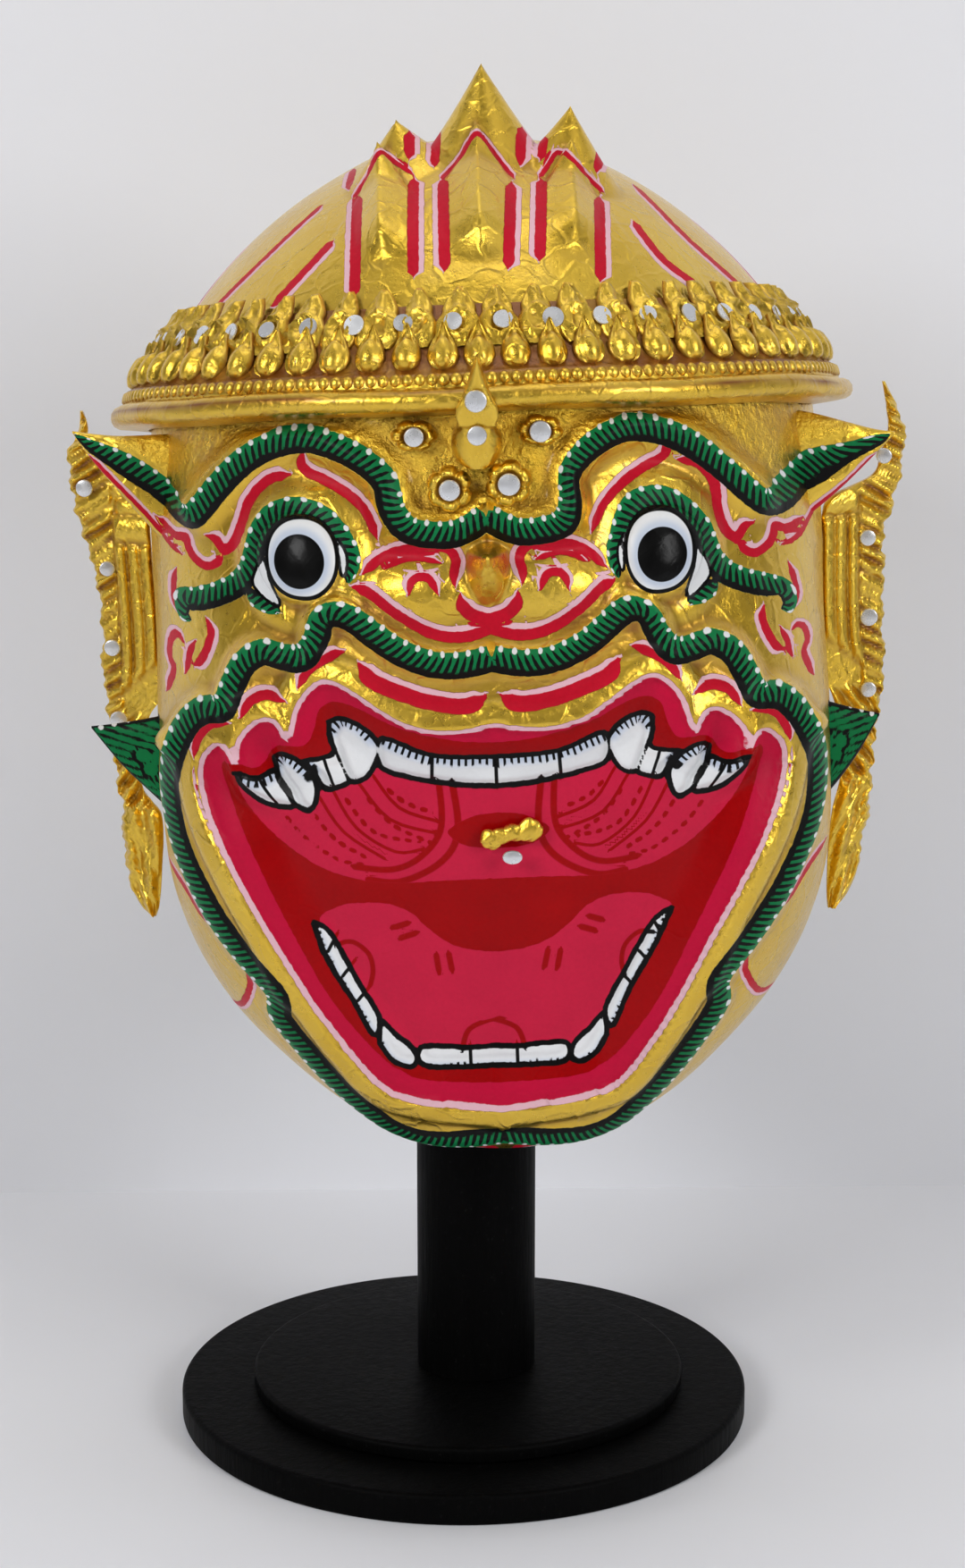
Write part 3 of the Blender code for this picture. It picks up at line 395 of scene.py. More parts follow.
def drawn_place(x, z, brow_inward=0.0):
    """Place in the drawn pattern of a point on the face: the right half sits nearer the nose and lower."""
    side = np.abs(x)
    # Each ease fades a shift in or out over a stretch of half width or of height
    right = (x > 0) * (1 - ease((side - 98) / 18))
    inward = MOUTH_INWARD * ease((z - 150) / 50) + (RIGHT_INWARD - MOUTH_INWARD) * ease((z - 262) / 20)
    inward = inward * ease((side - 18) / 26) + brow_inward * ease((z - 292) / 22) * ease((side - 6) / 22)
    cheek = ease((side - 76) / 14) * ease((z - 256) / 10) * ease((322 - z) / 12)
    drop = RIGHT_DROP * ease((z - 225) / 15) * (1 - ease((z - 296) / 14)) * ease((side - 18) / 26) + CHEEK_DROP * cheek
    return x + right * inward, z + MOUTH_DROP * ease((236 - z) / 22) + right * drop


def face_relief(x, z):
    """How far the painted face stands out from the bare head, in mm, from the front view."""
    brow_x, brow_z = drawn_place(x, z, BROW_INWARD)
    brow_side = np.abs(brow_x - mouth_lean(brow_z))
    x, z = drawn_place(x, z)
    side = np.abs(x - mouth_lean(z))
    lip = area_edge(side, z, LIP_LINE)
    eye = np.hypot((side - EYE[0]) / EYE_RADII[0], (z - EYE[1]) / EYE_RADII[1])
    brow = np.abs(along_line(brow_side, brow_z, BROW_LINE[:13])[0])
    moustache = np.abs(along_line(side, z, MOUSTACHE_LINE)[0])
    jaw = np.abs(along_line(side, z, MOUSTACHE_LINE[-1:] + JAW_LINE)[0])
    lids = np.abs(along_line(brow_side, brow_z, EYE_LINE[:14])[0])
    out = BROW_RISE * ridge(brow, 8.5) + 0.7 * ridge(brow, 4.0)
    out += np.where(eye < 1, EYE_RISE * np.sqrt(np.clip(1 - eye**2, 0, 1)), 0)
    out += LID_RISE * ridge(eye - 1 - LID_WIDTH / 2, LID_WIDTH) + 0.6 * ridge(lids, 3.6)
    out += NOSTRIL_RISE * dome_over(side, z, NOSTRIL, NOSTRIL_RADII)
    nose_height = np.where(z > NOSE[1], NOSE_REACH[1], NOSE_REACH[2])
    out += NOSE_RISE * np.clip(1 - np.hypot(x / NOSE_REACH[0], (z - NOSE[1]) / nose_height), 0, 1)
    out += MOUSTACHE_RISE * ridge(moustache, 6.0) + 0.5 * ridge(moustache, 3.8)
    out += JAW_RISE * ridge(jaw, 6.0)
    out += np.where(lip > 0, LIP_RISE * ridge(lip - 4.5, 4.5), 0)
    out -= np.where(lip < 0, MOUTH_DEPTH * ease(-lip / MOUTH_SLOPE), 0)
    for outline in UPPER_TEETH:
        tooth = area_edge(side, z, outline)
        out += TOOTH_RISE * ease(-tooth / 2.5)
    for outline in LOWER_TEETH:
        tooth = area_edge(np.abs(x - mouth_lean(z, -3.8)), z, outline)
        out += 0.5 * TOOTH_RISE * ease(-tooth / 2.5)
    return out


def seen_height(y, z):
    """Height of a crown point as the camera's slanting view has it."""
    return z * cos(CROWN_SLANT) + y * sin(CROWN_SLANT)


def crown_relief(x, y, z):
    """Height in mm that the three peaks and their petals add to the crown."""
    lift = np.zeros(np.shape(x))
    swell = np.zeros(np.shape(x))
    for peak_x, peak_y, height, radius in PEAKS:
        away = np.hypot(x - peak_x, (y - peak_y) * PEAK_FLATNESS)
        lift = np.maximum(lift, height * np.clip(1 - away / radius, 0, 1)**PEAK_SHARPNESS)
    seen = seen_height(y, z + lift)
    for petal_x, half_width, point in PETALS:
        crease = np.clip(1 - np.abs(x - petal_x) / half_width, 0, 1)
        arch = point - 15 * np.abs(x - petal_x) / half_width
        inside = ease((arch + 1.5 - seen) / 3) * ease((seen - PETAL_FOOT) / 12) * (y < 0)
        swell += (PETAL_RISE * crease**1.15 + 0.35) * inside
    return lift, swell


def band_line(y):
    return BAND_HEIGHT - BAND_TILT * y


def band_frame(azimuth, heights):
    """Points and normals of the head on one meridian, at heights above the tilted band line."""
    levels = np.linspace(1.5, 9, 301)
    line = head_point(np.full_like(levels, azimuth), levels)
    above = line[:, 2] - band_line(line[:, 1])
    at = np.interp(heights, above[::-1], levels[::-1])
    turn = np.full_like(at, azimuth)
    return head_point(turn, at), head_normal(turn, at)


def seat_matrix():
    """Where the mask sits on the post: rolled and turned a little about the post's top."""
    turn = Matrix.Rotation(-MASK_ROLL, 4, "Y") @ Matrix.Rotation(MASK_YAW, 4, "Z")
    pivot = Vector((0, 0, MASK_PIVOT)) * MM
    return Matrix.Translation(pivot + Vector((POST_SHIFT, 0, 0)) * MM) @ turn @ Matrix.Translation(-pivot)


# Materials

class Wiring:
    """Short forms for wiring a node tree: numbers or sockets in, sockets out."""

    def __init__(self, tree):
        self.tree = tree

    def node(self, kind, **settings):
        made = self.tree.nodes.new(kind)
        for key, value in settings.items():
            setattr(made, key, value)
        return made

    def put(self, value, socket):
        if isinstance(value, bpy.types.NodeSocket):
            self.tree.links.new(value, socket)
        else:
            socket.default_value = value

    def math(self, operation, a, b=0.0, clamp=False):
        made = self.node("ShaderNodeMath", operation=operation, use_clamp=clamp)
        self.put(a, made.inputs[0])
        self.put(b, made.inputs[1])
        return made.outputs[0]

    def mix(self, share, low, high):
        made = self.node("ShaderNodeMix", data_type="RGBA")
        self.put(share, made.inputs["Factor"])
        self.put(low, made.inputs["A"])
        self.put(high, made.inputs["B"])
        return made.outputs["Result"]

    def blend(self, share, low, high):
        made = self.node("ShaderNodeMix")
        self.put(share, made.inputs["Factor"])
        self.put(low, made.inputs["A"])
        self.put(high, made.inputs["B"])
        return made.outputs["Result"]

    def below(self, value, limit, soft=0.12):
        """1 where value is under limit and 0 above it, with a soft edge."""
        made = self.node("ShaderNodeMapRange", interpolation_type="SMOOTHSTEP")
        self.put(value, made.inputs["Value"])
        made.inputs["From Min"].default_value = limit - soft
        made.inputs["From Max"].default_value = limit + soft
        made.inputs["To Min"].default_value = 1
        made.inputs["To Max"].default_value = 0
        return made.outputs["Result"]

    def parts(self, name):
        """The three numbers of a vector attribute."""
        found = self.node("ShaderNodeAttribute", attribute_name=name)
        split = self.node("ShaderNodeSeparateXYZ")
        self.tree.links.new(found.outputs["Vector"], split.inputs[0])
        return split.outputs

    def number(self, name):
        return self.node("ShaderNodeAttribute", attribute_name=name).outputs["Fac"]

    def object_place(self):
        return self.node("ShaderNodeTexCoord").outputs["Object"]

    def noise(self, place, scale, detail=3.0, roughness=0.55):
        made = self.node("ShaderNodeTexNoise")
        self.put(place, made.inputs["Vector"])
        made.inputs["Scale"].default_value = scale
        made.inputs["Detail"].default_value = detail
        made.inputs["Roughness"].default_value = roughness
        return made.outputs["Fac"]

    def bump(self, height, distance, strength=1.0, normal=None):
        made = self.node("ShaderNodeBump")
        self.put(height, made.inputs["Height"])
        made.inputs["Distance"].default_value = distance
        made.inputs["Strength"].default_value = strength
        if normal is not None:
            self.put(normal, made.inputs["Normal"])
        return made.outputs["Normal"]


def shared_group(name, outputs, build):
    """A shader node group, made once: build(wiring) returns one socket for each output."""
    group = bpy.data.node_groups.get(name)
    if group:
        return group
    group = bpy.data.node_groups.new(name, "ShaderNodeTree")
    for label, kind in outputs:
        group.interface.new_socket(label, in_out="OUTPUT", socket_type=kind)
    wiring = Wiring(group)
    ends = wiring.node("NodeGroupOutput")
    for socket, made in zip(ends.inputs, build(wiring)):
        group.links.new(made, socket)
    return group


def leaf_group():
    """Gold leaf over lacquer: leaf colour, roughness, crinkle height and where the leaf is rubbed."""
    def build(wiring):
        place = wiring.object_place()
        broad = wiring.noise(place, 45, 4)
        crinkle = wiring.noise(place, 320, 6, 0.65)
        fold = wiring.node("ShaderNodeTexVoronoi", feature="DISTANCE_TO_EDGE")
        warped = wiring.node("ShaderNodeVectorMath", operation="MULTIPLY_ADD")
        noisy = wiring.node("ShaderNodeTexNoise")
        wiring.put(place, noisy.inputs["Vector"])
        noisy.inputs["Scale"].default_value = 70
        wiring.put(noisy.outputs["Color"], warped.inputs[0])
        warped.inputs[1].default_value = (0.014, 0.014, 0.014)
        wiring.put(place, warped.inputs[2])
        wiring.put(warped.outputs[0], fold.inputs["Vector"])
        fold.inputs["Scale"].default_value = 95
        crease = wiring.below(fold.outputs["Distance"], 0.05, 0.05)
        height = wiring.math("ADD", wiring.math("MULTIPLY", crinkle, 0.55), wiring.math("MULTIPLY", broad, 1.2))
        height = wiring.math("ADD", height, wiring.math("MULTIPLY", crease, 0.22))
        tone = wiring.mix(broad, (0.68, 0.40, 0.022, 1), (0.85, 0.59, 0.085, 1))
        rubbed = wiring.below(wiring.noise(place, 150, 5, 0.7), 0.34, 0.05)
        rough = wiring.blend(crinkle, 0.17, 0.42)
        return tone, rough, height, rubbed
    return shared_group("Leaf", (("Colour", "NodeSocketColor"), ("Roughness", "NodeSocketFloat"),
                                 ("Height", "NodeSocketFloat"), ("Rubbed", "NodeSocketFloat")), build)


def group_node(wiring, group):
    made = wiring.node("ShaderNodeGroup")
    made.node_tree = group
    return made.outputs


def new_material(name):
    made = bpy.data.materials.new(name)
    made.use_nodes = True
    wiring = Wiring(made.node_tree)
    return made, wiring, made.node_tree.nodes["Principled BSDF"]


def gilt_layers(wiring, finish):
    """Gold colour, roughness, metal share and height, with lacquer showing in the hollows and painted shade darkening
    them.
    """
    leaf = group_node(wiring, leaf_group())
    place = wiring.object_place()
    # Lacquer colour where the surface lies deep: partly lacquer showing through the leaf, partly painted shade in
    # recesses and where parts meet.
    lacquer_and_shade = wiring.number("lacquer_and_shade")
    uneven = wiring.noise(place, 120, 4)
    stain_and_shade = wiring.math("MULTIPLY", lacquer_and_shade, wiring.math("ADD", 0.45, uneven), clamp=True)
    # Rubbed leaf at random, and more of it in the hollows as painted shade.
    wear_and_shade = wiring.math("MULTIPLY", leaf["Rubbed"], wiring.math("ADD", 0.12, lacquer_and_shade))
    stain_and_shade = wiring.math("MAXIMUM", stain_and_shade, wear_and_shade, clamp=True)
    colour = wiring.mix(stain_and_shade, leaf["Colour"], (*finish.lacquer, 1))
    rough = wiring.blend(stain_and_shade, leaf["Roughness"], 0.4)
    metal = wiring.blend(stain_and_shade, 1.0, 0.55)
    return colour, rough, metal, leaf["Height"]


def gilt_material(name, finish, crinkle=0.0006):
    made, wiring, shader = new_material(name)
    colour, rough, metal, height = gilt_layers(wiring, finish)
    wiring.put(colour, shader.inputs["Base Color"])
    wiring.put(rough, shader.inputs["Roughness"])
    wiring.put(metal, shader.inputs["Metallic"])
    wiring.put(wiring.bump(height, crinkle), shader.inputs["Normal"])
    shader.inputs["Coat Weight"].default_value = 0.25
    shader.inputs["Coat Roughness"].default_value = 0.12
    return made


def painted_material(finish):
    """Gold leaf painted over: green bands, red strokes, mouth, teeth and eyes, from the piece's attributes."""
    made, wiring, shader = new_material("painted_gilt")
    place = wiring.object_place()
    gold, rough, metal, height = gilt_layers(wiring, finish)
    wobble = wiring.math("MULTIPLY", wiring.math("SUBTRACT", wiring.noise(place, 420, 3), 0.5), 0.7)
    blot = wiring.noise(place, 900, 4, 0.6)
    wide = wiring.noise(place, 60, 4)

    def shaky(value):
        return wiring.math("ADD", value, wobble)

    def both(*masks):
        made_mask = masks[0]
        for mask in masks[1:]:
            made_mask = wiring.math("MULTIPLY", made_mask, mask)
        return made_mask

    def tint(colour, strength=0.25):
        """Brushed paint: the colour, a little darker and lighter in places."""
        dark = tuple(c * (1 - strength) for c in colour)
        light = tuple(min(1, c * (1 + strength)) for c in colour)
        return wiring.mix(wiring.math("ADD", wiring.math("MULTIPLY", blot, 0.5), wiring.math("MULTIPLY", wide, 0.5)),
                          (*dark, 1), (*light, 1))

    green_edge, green_side, green_run = wiring.parts("green")
    red_across, red_away, red_width = wiring.parts("red")
    lip, inner, soft = wiring.parts("mouth")
    tooth, root, root_run = wiring.parts("teeth")
    fine_side, fine_far, dash = wiring.parts("fine")
    wing, wing_black, wing_dot = wiring.parts("wing")
    white, pupil, corner = wiring.parts("eye")

    colour = gold
    # Red strokes and their lilac line
    def within(reach):
        """Near the stroke's middle line both by the smooth place across it and by the plain distance."""
        by_side = wiring.math("SUBTRACT", shaky(wiring.math("ABSOLUTE", red_across)), reach)
        return both(wiring.below(by_side, 0.0, 0.1), wiring.below(wiring.math("SUBTRACT", red_away, reach), 0.5, 0.1))

    stroke = within(red_width)
    beside = wiring.math("MINIMUM", wiring.math("MULTIPLY", red_width, 1.05), finish.lilac_width * 1000)
    lilac = both(within(wiring.math("ADD", red_width, beside)),
                 wiring.below(wiring.math("MULTIPLY", red_across, -1.0), 0.0, 0.1))
    colour = wiring.mix(lilac, colour, tint(finish.lilac, 0.1))
    colour = wiring.mix(stroke, colour, tint(finish.stroke, 0.3))
    paint = wiring.math("MAXIMUM", stroke, lilac)

    # Mouth: lilac outline, pink lip, dark red, palate and tongue
    outline = wiring.below(shaky(lip), 1.5, 0.1)
    lips = wiring.below(shaky(lip), 0.0, 0.12)
    dark = wiring.below(shaky(inner), 0.0, 0.12)
    pink = both(dark, wiring.below(shaky(soft), 0.0, 0.1))
    colour = wiring.mix(outline, colour, tint(finish.lilac, 0.1))
    colour = wiring.mix(lips, colour, tint(finish.lip, 0.22))
    colour = wiring.mix(dark, colour, tint(finish.throat, 0.35))
    colour = wiring.mix(pink, colour, tint(finish.palate, 0.22))
    paint = wiring.math("MAXIMUM", paint, outline)

    # Folds of palate and gums, then the teeth
    fine = both(wiring.below(wiring.math("ABSOLUTE", fine_side), 1.0, 0.25), wiring.below(fine_far, 1.3, 0.1))
    folds = both(wiring.math("MAXIMUM", fine, wiring.below(shaky(dash), 0.62, 0.12)), pink)
    colour = wiring.mix(folds, colour, tint(finish.throat, 0.3))
    enamel = wiring.below(shaky(tooth), 0.0, 0.1)
    rim = both(wiring.below(wiring.math("ABSOLUTE", shaky(tooth)), 0.78, 0.12), dark)
    blue = wiring.below(root, 2.4, 1.4)
    ragged = wiring.math("ADD", root, wiring.math("MULTIPLY", wiring.noise(place, 240, 2), 4.0))
    ticks = wiring.math("SINE", wiring.math("MULTIPLY", root_run, 2 * pi / finish.tick_pitch / 1000))
    tick = both(wiring.below(wiring.math("MULTIPLY", ticks, -1.0), -0.3, 0.2),
                wiring.below(ragged, 4.4, 0.3))
    enamel_colour = wiring.mix(wiring.math("MULTIPLY", blue, 0.42), tint(finish.enamel, 0.08), (*finish.root, 1))
    colour = wiring.mix(enamel, colour, enamel_colour)
    colour = wiring.mix(both(enamel, tick), colour, (*finish.outline, 1))
    colour = wiring.mix(both(enamel, fine), colour, (*finish.outline, 1))
    colour = wiring.mix(rim, colour, (*finish.outline, 1))

    # Green bands: hatched from the black lower edge, with white dots along the upper one
    band = wiring.below(shaky(green_edge), 0.0, 0.1)
    slant = wiring.math("ADD", green_run, wiring.math("MULTIPLY", green_side, 1.6))
    comb = wiring.math("SINE", wiring.math("MULTIPLY", slant, 2 * pi / finish.hatch_pitch / 1000))
    # A hatch stroke is broad at the black edge and comes to a point near the dots
    thin = wiring.math("MULTIPLY", wiring.math("POWER", wiring.math("MAXIMUM", green_side, 0.0), 1.6), 1.9)
    thin = wiring.math("ADD", thin, wiring.math("MULTIPLY", wiring.math("SUBTRACT", blot, 0.62), 0.8))
    hatch = wiring.below(wiring.math("ADD", comb, thin), 0.1, 0.22)
    black = wiring.math("MAXIMUM", hatch, wiring.below(shaky(green_side), -0.42, 0.1))
    place_along = wiring.math("MULTIPLY", wiring.math("SUBTRACT", wiring.math("FRACT", wiring.math(
        "DIVIDE", green_run, finish.dot_pitch * 1000)), 0.5), finish.dot_pitch * 1000)
    across = wiring.math("MULTIPLY", wiring.math("SUBTRACT", green_side, 0.86), 3.6)
    round_dot = wiring.math("POWER", wiring.math("ADD", wiring.math("POWER", place_along, 2.0),
                                                 wiring.math("POWER", across, 2.0)), 0.5)
    dot = both(wiring.below(shaky(round_dot), finish.dot_radius * 1000, 0.14), wiring.below(green_edge, 0.7, 0.1))
    colour = wiring.mix(band, colour, tint(finish.green, 0.3))
    leaf_wing = wiring.below(wing, 0.9, 0.1)
    colour = wiring.mix(leaf_wing, colour, tint(finish.green, 0.3))
    wing_outline = wiring.below(shaky(wiring.math("MULTIPLY", wing, -1.0)), 0.7, 0.15)
    veins = wiring.math("MAXIMUM", wiring.below(shaky(wing_black), 0.12, 0.12), wing_outline)
    colour = wiring.mix(both(leaf_wing, veins), colour, (*finish.outline, 1))
    colour = wiring.mix(both(leaf_wing, wiring.below(shaky(wing_dot), 0.75, 0.14)), colour, (*finish.enamel, 1))
    colour = wiring.mix(both(band, black), colour, (*finish.outline, 1))
    colour = wiring.mix(dot, colour, (*finish.enamel, 1))
    paint = wiring.math("MAXIMUM", wiring.math("MAXIMUM", paint, band), wiring.math("MAXIMUM", leaf_wing, dot))

    # Eyes: black rim, bluish white, black pupil and the white corners
    corners = wiring.below(shaky(corner), 0.0, 0.1)
    around = wiring.math("MAXIMUM", wiring.below(white, 1.12, 0.01), wiring.below(corner, 0.9, 0.12))
    ball = wiring.below(white, 1.0, 0.012)
    disc = wiring.below(pupil, 1.0, 0.015)
    shade = wiring.below(pupil, 1.22, 0.16)
    colour = wiring.mix(around, colour, (*finish.outline, 1))
    colour = wiring.mix(wiring.math("MAXIMUM", ball, corners), colour, (*finish.enamel, 1))
    colour = wiring.mix(both(ball, wiring.math("MULTIPLY", shade, 0.35)), colour, (*finish.root, 1))
    colour = wiring.mix(disc, colour, (*finish.outline, 1))
    paint = wiring.math("MAXIMUM", paint, around)

    gloss = wiring.blend(wiring.math("MAXIMUM", around, wiring.math("MULTIPLY", dark, 0.6)), 0.42, 0.2)
    wiring.put(colour, shader.inputs["Base Color"])
    wiring.put(wiring.blend(paint, metal, 0.0), shader.inputs["Metallic"])
    wiring.put(wiring.blend(paint, 0.5, 0.1), shader.inputs["Specular IOR Level"])
    wiring.put(wiring.blend(paint, rough, gloss), shader.inputs["Roughness"])
    # Rough gilded paste between the brows and the diadem
    coarse = wiring.math("MULTIPLY", wiring.number("coarse"), wiring.math("SUBTRACT", 1.0, paint))
    lumps = wiring.math("MULTIPLY", wiring.math("MULTIPLY", wiring.noise(place, 260, 5, 0.65), coarse), 3.2)
    skin = wiring.math("ADD", wiring.math("MULTIPLY", height, wiring.math("SUBTRACT", 1.0, wiring.math(
        "MULTIPLY", paint, 0.75))), wiring.math("ADD", wiring.math("MULTIPLY", paint, 0.12), lumps))
    wiring.put(wiring.bump(skin, 0.00055), shader.inputs["Normal"])
    wiring.put(wiring.blend(paint, 0.25, 0.0), shader.inputs["Coat Weight"])
    shader.inputs["Coat Roughness"].default_value = 0.12
    return made


def mirror_material(finish):
    made, wiring, shader = new_material("mirror_glass_old")
    place = wiring.object_place()
    cloud = wiring.noise(place, 260, 4)
    wiring.put(wiring.mix(cloud, (0.55, 0.56, 0.58, 1), (0.80, 0.81, 0.83, 1)), shader.inputs["Base Color"])
    shader.inputs["Metallic"].default_value = 0.55
    wiring.put(wiring.blend(cloud, 0.12, 0.4), shader.inputs["Roughness"])
    return made


def black_material(finish):
    """Brushed satin black paint over turned wood."""
    made, wiring, shader = new_material("black_satin")
    place = wiring.object_place()
    stretch = wiring.node("ShaderNodeMapping")
    wiring.put(place, stretch.inputs["Vector"])
    stretch.inputs["Scale"].default_value = (1, 1, 0.12)
    brushed = wiring.noise(stretch.outputs[0], 380, 5, 0.6)
    dust = wiring.below(wiring.noise(place, 700, 6, 0.7), 0.36, 0.03)
    shade = wiring.mix(brushed, (*[c * 0.6 for c in finish.stand], 1), (*[c * 1.5 for c in finish.stand], 1))
    dusty = wiring.mix(wiring.math("MULTIPLY", dust, 0.1), shade, (0.05, 0.05, 0.05, 1))
    wiring.put(dusty, shader.inputs["Base Color"])
    wiring.put(wiring.blend(brushed, 0.4, 0.6), shader.inputs["Roughness"])
    shader.inputs["Specular IOR Level"].default_value = 0.03
    wiring.put(wiring.bump(brushed, 0.0005, 0.6), shader.inputs["Normal"])
    return made


def inside_material():
    """The mask's inside: brown pasted paper."""
    made, wiring, shader = new_material("bare_paper")
    place = wiring.object_place()
    sheets = wiring.noise(place, 28, 5, 0.6)
    wiring.put(wiring.mix(sheets, (0.10, 0.055, 0.03, 1), (0.26, 0.16, 0.09, 1)), shader.inputs["Base Color"])
    shader.inputs["Roughness"].default_value = 0.85
    wiring.put(wiring.bump(sheets, 0.002), shader.inputs["Normal"])
    return made


# Meshes

def mesh_points(mesh):
    points = np.empty(len(mesh.vertices) * 3, np.float32)
    mesh.vertices.foreach_get("co", points)
    return points.reshape(-1, 3).astype(float)


def mesh_normals(mesh):
    normals = np.empty(len(mesh.vertices) * 3, np.float32)
    mesh.vertex_normals.foreach_get("vector", normals)
    return normals.reshape(-1, 3).astype(float)


def vector_attribute(mesh, name, *columns):
    made = mesh.attributes.new(name, "FLOAT_VECTOR", "POINT")
    made.data.foreach_set("vector", np.stack(columns, -1).astype(np.float32).ravel())


def number_attribute(mesh, name, values):
    made = mesh.attributes.new(name, "FLOAT", "POINT")
    made.data.foreach_set("value", np.asarray(values, np.float32))


def hollow_of(mesh, reach, rounds=4):
    """How deep each vertex lies among its neighbours, from 0 to 1; reach is the depth in mm that gives 1."""
    ends = np.empty(len(mesh.edges) * 2, np.int32)
    mesh.edges.foreach_get("vertices", ends)
    a, b = ends.reshape(-1, 2).T
    points, normals = mesh_points(mesh) / MM, mesh_normals(mesh)
    count = np.bincount(np.concatenate([a, b]), minlength=len(points)) + 1e-9

    def average(values):
        total = np.zeros_like(values)
        np.add.at(total, a, values[b])
        np.add.at(total, b, values[a])
        return total / (count[:, None] if values.ndim > 1 else count)

    spread = points
    for _ in range(rounds):
        spread = 0.5 * spread + 0.5 * average(spread)
    depth = ((spread - points) * normals).sum(1)
    for _ in range(2):
        depth = 0.5 * depth + 0.5 * average(depth)
    return np.clip(depth / reach, 0, 1)


def finish_piece(name, mesh, materials, nodes=(), seat=True, lacquer_and_shade=0.0, sharp=None):
    """Shades, seats and registers one visual piece."""
    for finish in materials:
        mesh.materials.append(finish)
    mesh.shade_smooth()
    if sharp:
        mesh.set_sharp_from_angle(angle=radians(sharp))
    # Painted shade: the deeper a vertex lies among its neighbours, the more lacquer colour darkens the gold there.
    if lacquer_and_shade:
        number_attribute(mesh, "lacquer_and_shade", hollow_of(mesh, lacquer_and_shade))
    if seat:
        mesh.transform(seat_matrix())
    made = bpy.data.objects.new(name, mesh)
    bpy.context.scene.collection.objects.link(made)
    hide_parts(*nodes)
    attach(made, "root")
    return made


def mesh_from(bm, name):
    mesh = bpy.data.meshes.new(name)
    bm.to_mesh(mesh)
    bm.free()
    return mesh


def merge_into(bm, other):
    spare = mesh_from(other, "spare")
    bm.from_mesh(spare)
    bpy.data.meshes.remove(spare)


def crowded(share, dense_until, thinness):
    """Maps 0..1 onto 0..1 with steps that are small up to dense_until and larger past it."""
    at = np.linspace(0, 1, 401)
    weight = 1 - (1 - thinness) * ease((at - dense_until) / 0.15 + 0.5)
    total = np.concatenate([[0], np.cumsum((weight[1:] + weight[:-1]) / 2)])
    return np.interp(share, total / total[-1], at)


def sphere_place(bm, rows, spare=2):
    """Azimuth and level of each vertex of the sphere, with more columns on the face than behind."""
    sphere = np.array([v.co[:] for v in bm.verts])
    sphere /= np.linalg.norm(sphere, axis=1, keepdims=True)
    azimuth = np.arctan2(sphere[:, 0], -sphere[:, 1])
    fall = np.clip(np.arccos(np.clip(sphere[:, 2], -1, 1)) / pi * (rows + spare) / rows, 0, 1)
    azimuth = np.sign(azimuth) * pi * crowded(np.abs(azimuth) / pi, 0.55, 0.4)
    return azimuth, LEVELS * fall


def fine_work(x, y, z):
    """How near a point is to work that needs a finer mesh: 1 for bands and creases, 2 for teeth and eyes."""
    side, low_side = np.abs(x - mouth_lean(z)), np.abs(x - mouth_lean(z, -3.8))
    face = (y < -22) & (z < band_line(y) + 2)
    crown = (np.abs(x) < 42) & (y < -8) & (z > band_line(y) + 12)
    detail = np.full(x.shape, FAR)
    detail[face] = np.abs(fine_lines(side[face], low_side[face], z[face])[1])
    for outline in UPPER_TEETH:
        detail[face] = np.minimum(detail[face], area_edge(side[face], z[face], outline, 3))
    for outline in LOWER_TEETH:
        detail[face] = np.minimum(detail[face], area_edge(low_side[face], z[face], outline, 3))
    for line in DASHED_LINES:
        detail[face] = np.minimum(detail[face], distance_to(side[face], z[face], line))
    eye = np.hypot((side - EYE_WHITE[0]) / 14, (z - EYE_WHITE[1]) / 14)
    nose = np.hypot(x / 9, (z - 284) / 12)
    fine = face & ((detail < 1.6) | (eye < 1) | (nose < 1))
    return np.where(fine, 2, np.where(face | crown, 1, 0))


def shell_surface(columns, rows, carved, inward=0.0):
    """The mask's outer or inner surface as a bmesh in mm: a UV sphere without its foot, moved onto the form."""
    spare = 2
    bm = bmesh.new()
    bmesh.ops.create_uvsphere(bm, u_segments=columns, v_segments=rows + spare, radius=1)
    foot = [v for v in bm.verts if v.co.z < cos(pi * (rows + 0.5) / (rows + spare))]
    bmesh.ops.delete(bm, geom=foot, context="VERTS")
    for step in (1, 2) if carved else ():
        azimuth, level = sphere_place(bm, rows)
        need = fine_work(*head_point(azimuth, level).T) >= step
        bm.verts.ensure_lookup_table()
        bm.verts.index_update()
        edges = {edge for face in bm.faces if any(need[v.index] for v in face.verts) and len(face.verts) == 4
                 for edge in face.edges}
        bmesh.ops.subdivide_edges(bm, edges=sorted(edges, key=lambda e: e.index), cuts=1, use_grid_fill=True)
        bmesh.ops.triangulate(bm, faces=[face for face in bm.faces if len(face.verts) > 4])
    azimuth, level = sphere_place(bm, rows)
    points, normals = head_point(azimuth, level), head_normal(azimuth, level)
    normals[level < 0.01] = (0, 0, 1)
    x, y, z = points.T
    facing = ease(np.cos(azimuth) / 0.25) * ease((band_line(y) - BAND_CLEAR - z) / 3)
    if carved:
        near = facing > 0
        relief = np.zeros(len(x))
        relief[near] = face_relief(x[near], z[near]) * facing[near]
        lift, swell = crown_relief(x, y, z)
        points = points + normals * (relief + swell)[:, None]
        points[:, 2] += lift
        for peak_x, peak_y, height, _ in PEAKS:
            nearest = np.argmin(np.hypot(x - peak_x, y - peak_y) + 1000 * (z < PETAL_FOOT))
            points[nearest] = (peak_x, peak_y, z[nearest] + height)
    else:
        lip = area_edge(np.abs(x), z, LIP_LINE)
        points = points - normals * (inward + MOUTH_DEPTH * ease(-lip / MOUTH_SLOPE) * facing)[:, None]
        rim = level > LEVELS - 0.01
        points[rim, 2] = head_point(azimuth, level)[rim, 2]
    for vertex, point in zip(bm.verts, points.tolist()):
        vertex.co = point
    return bm


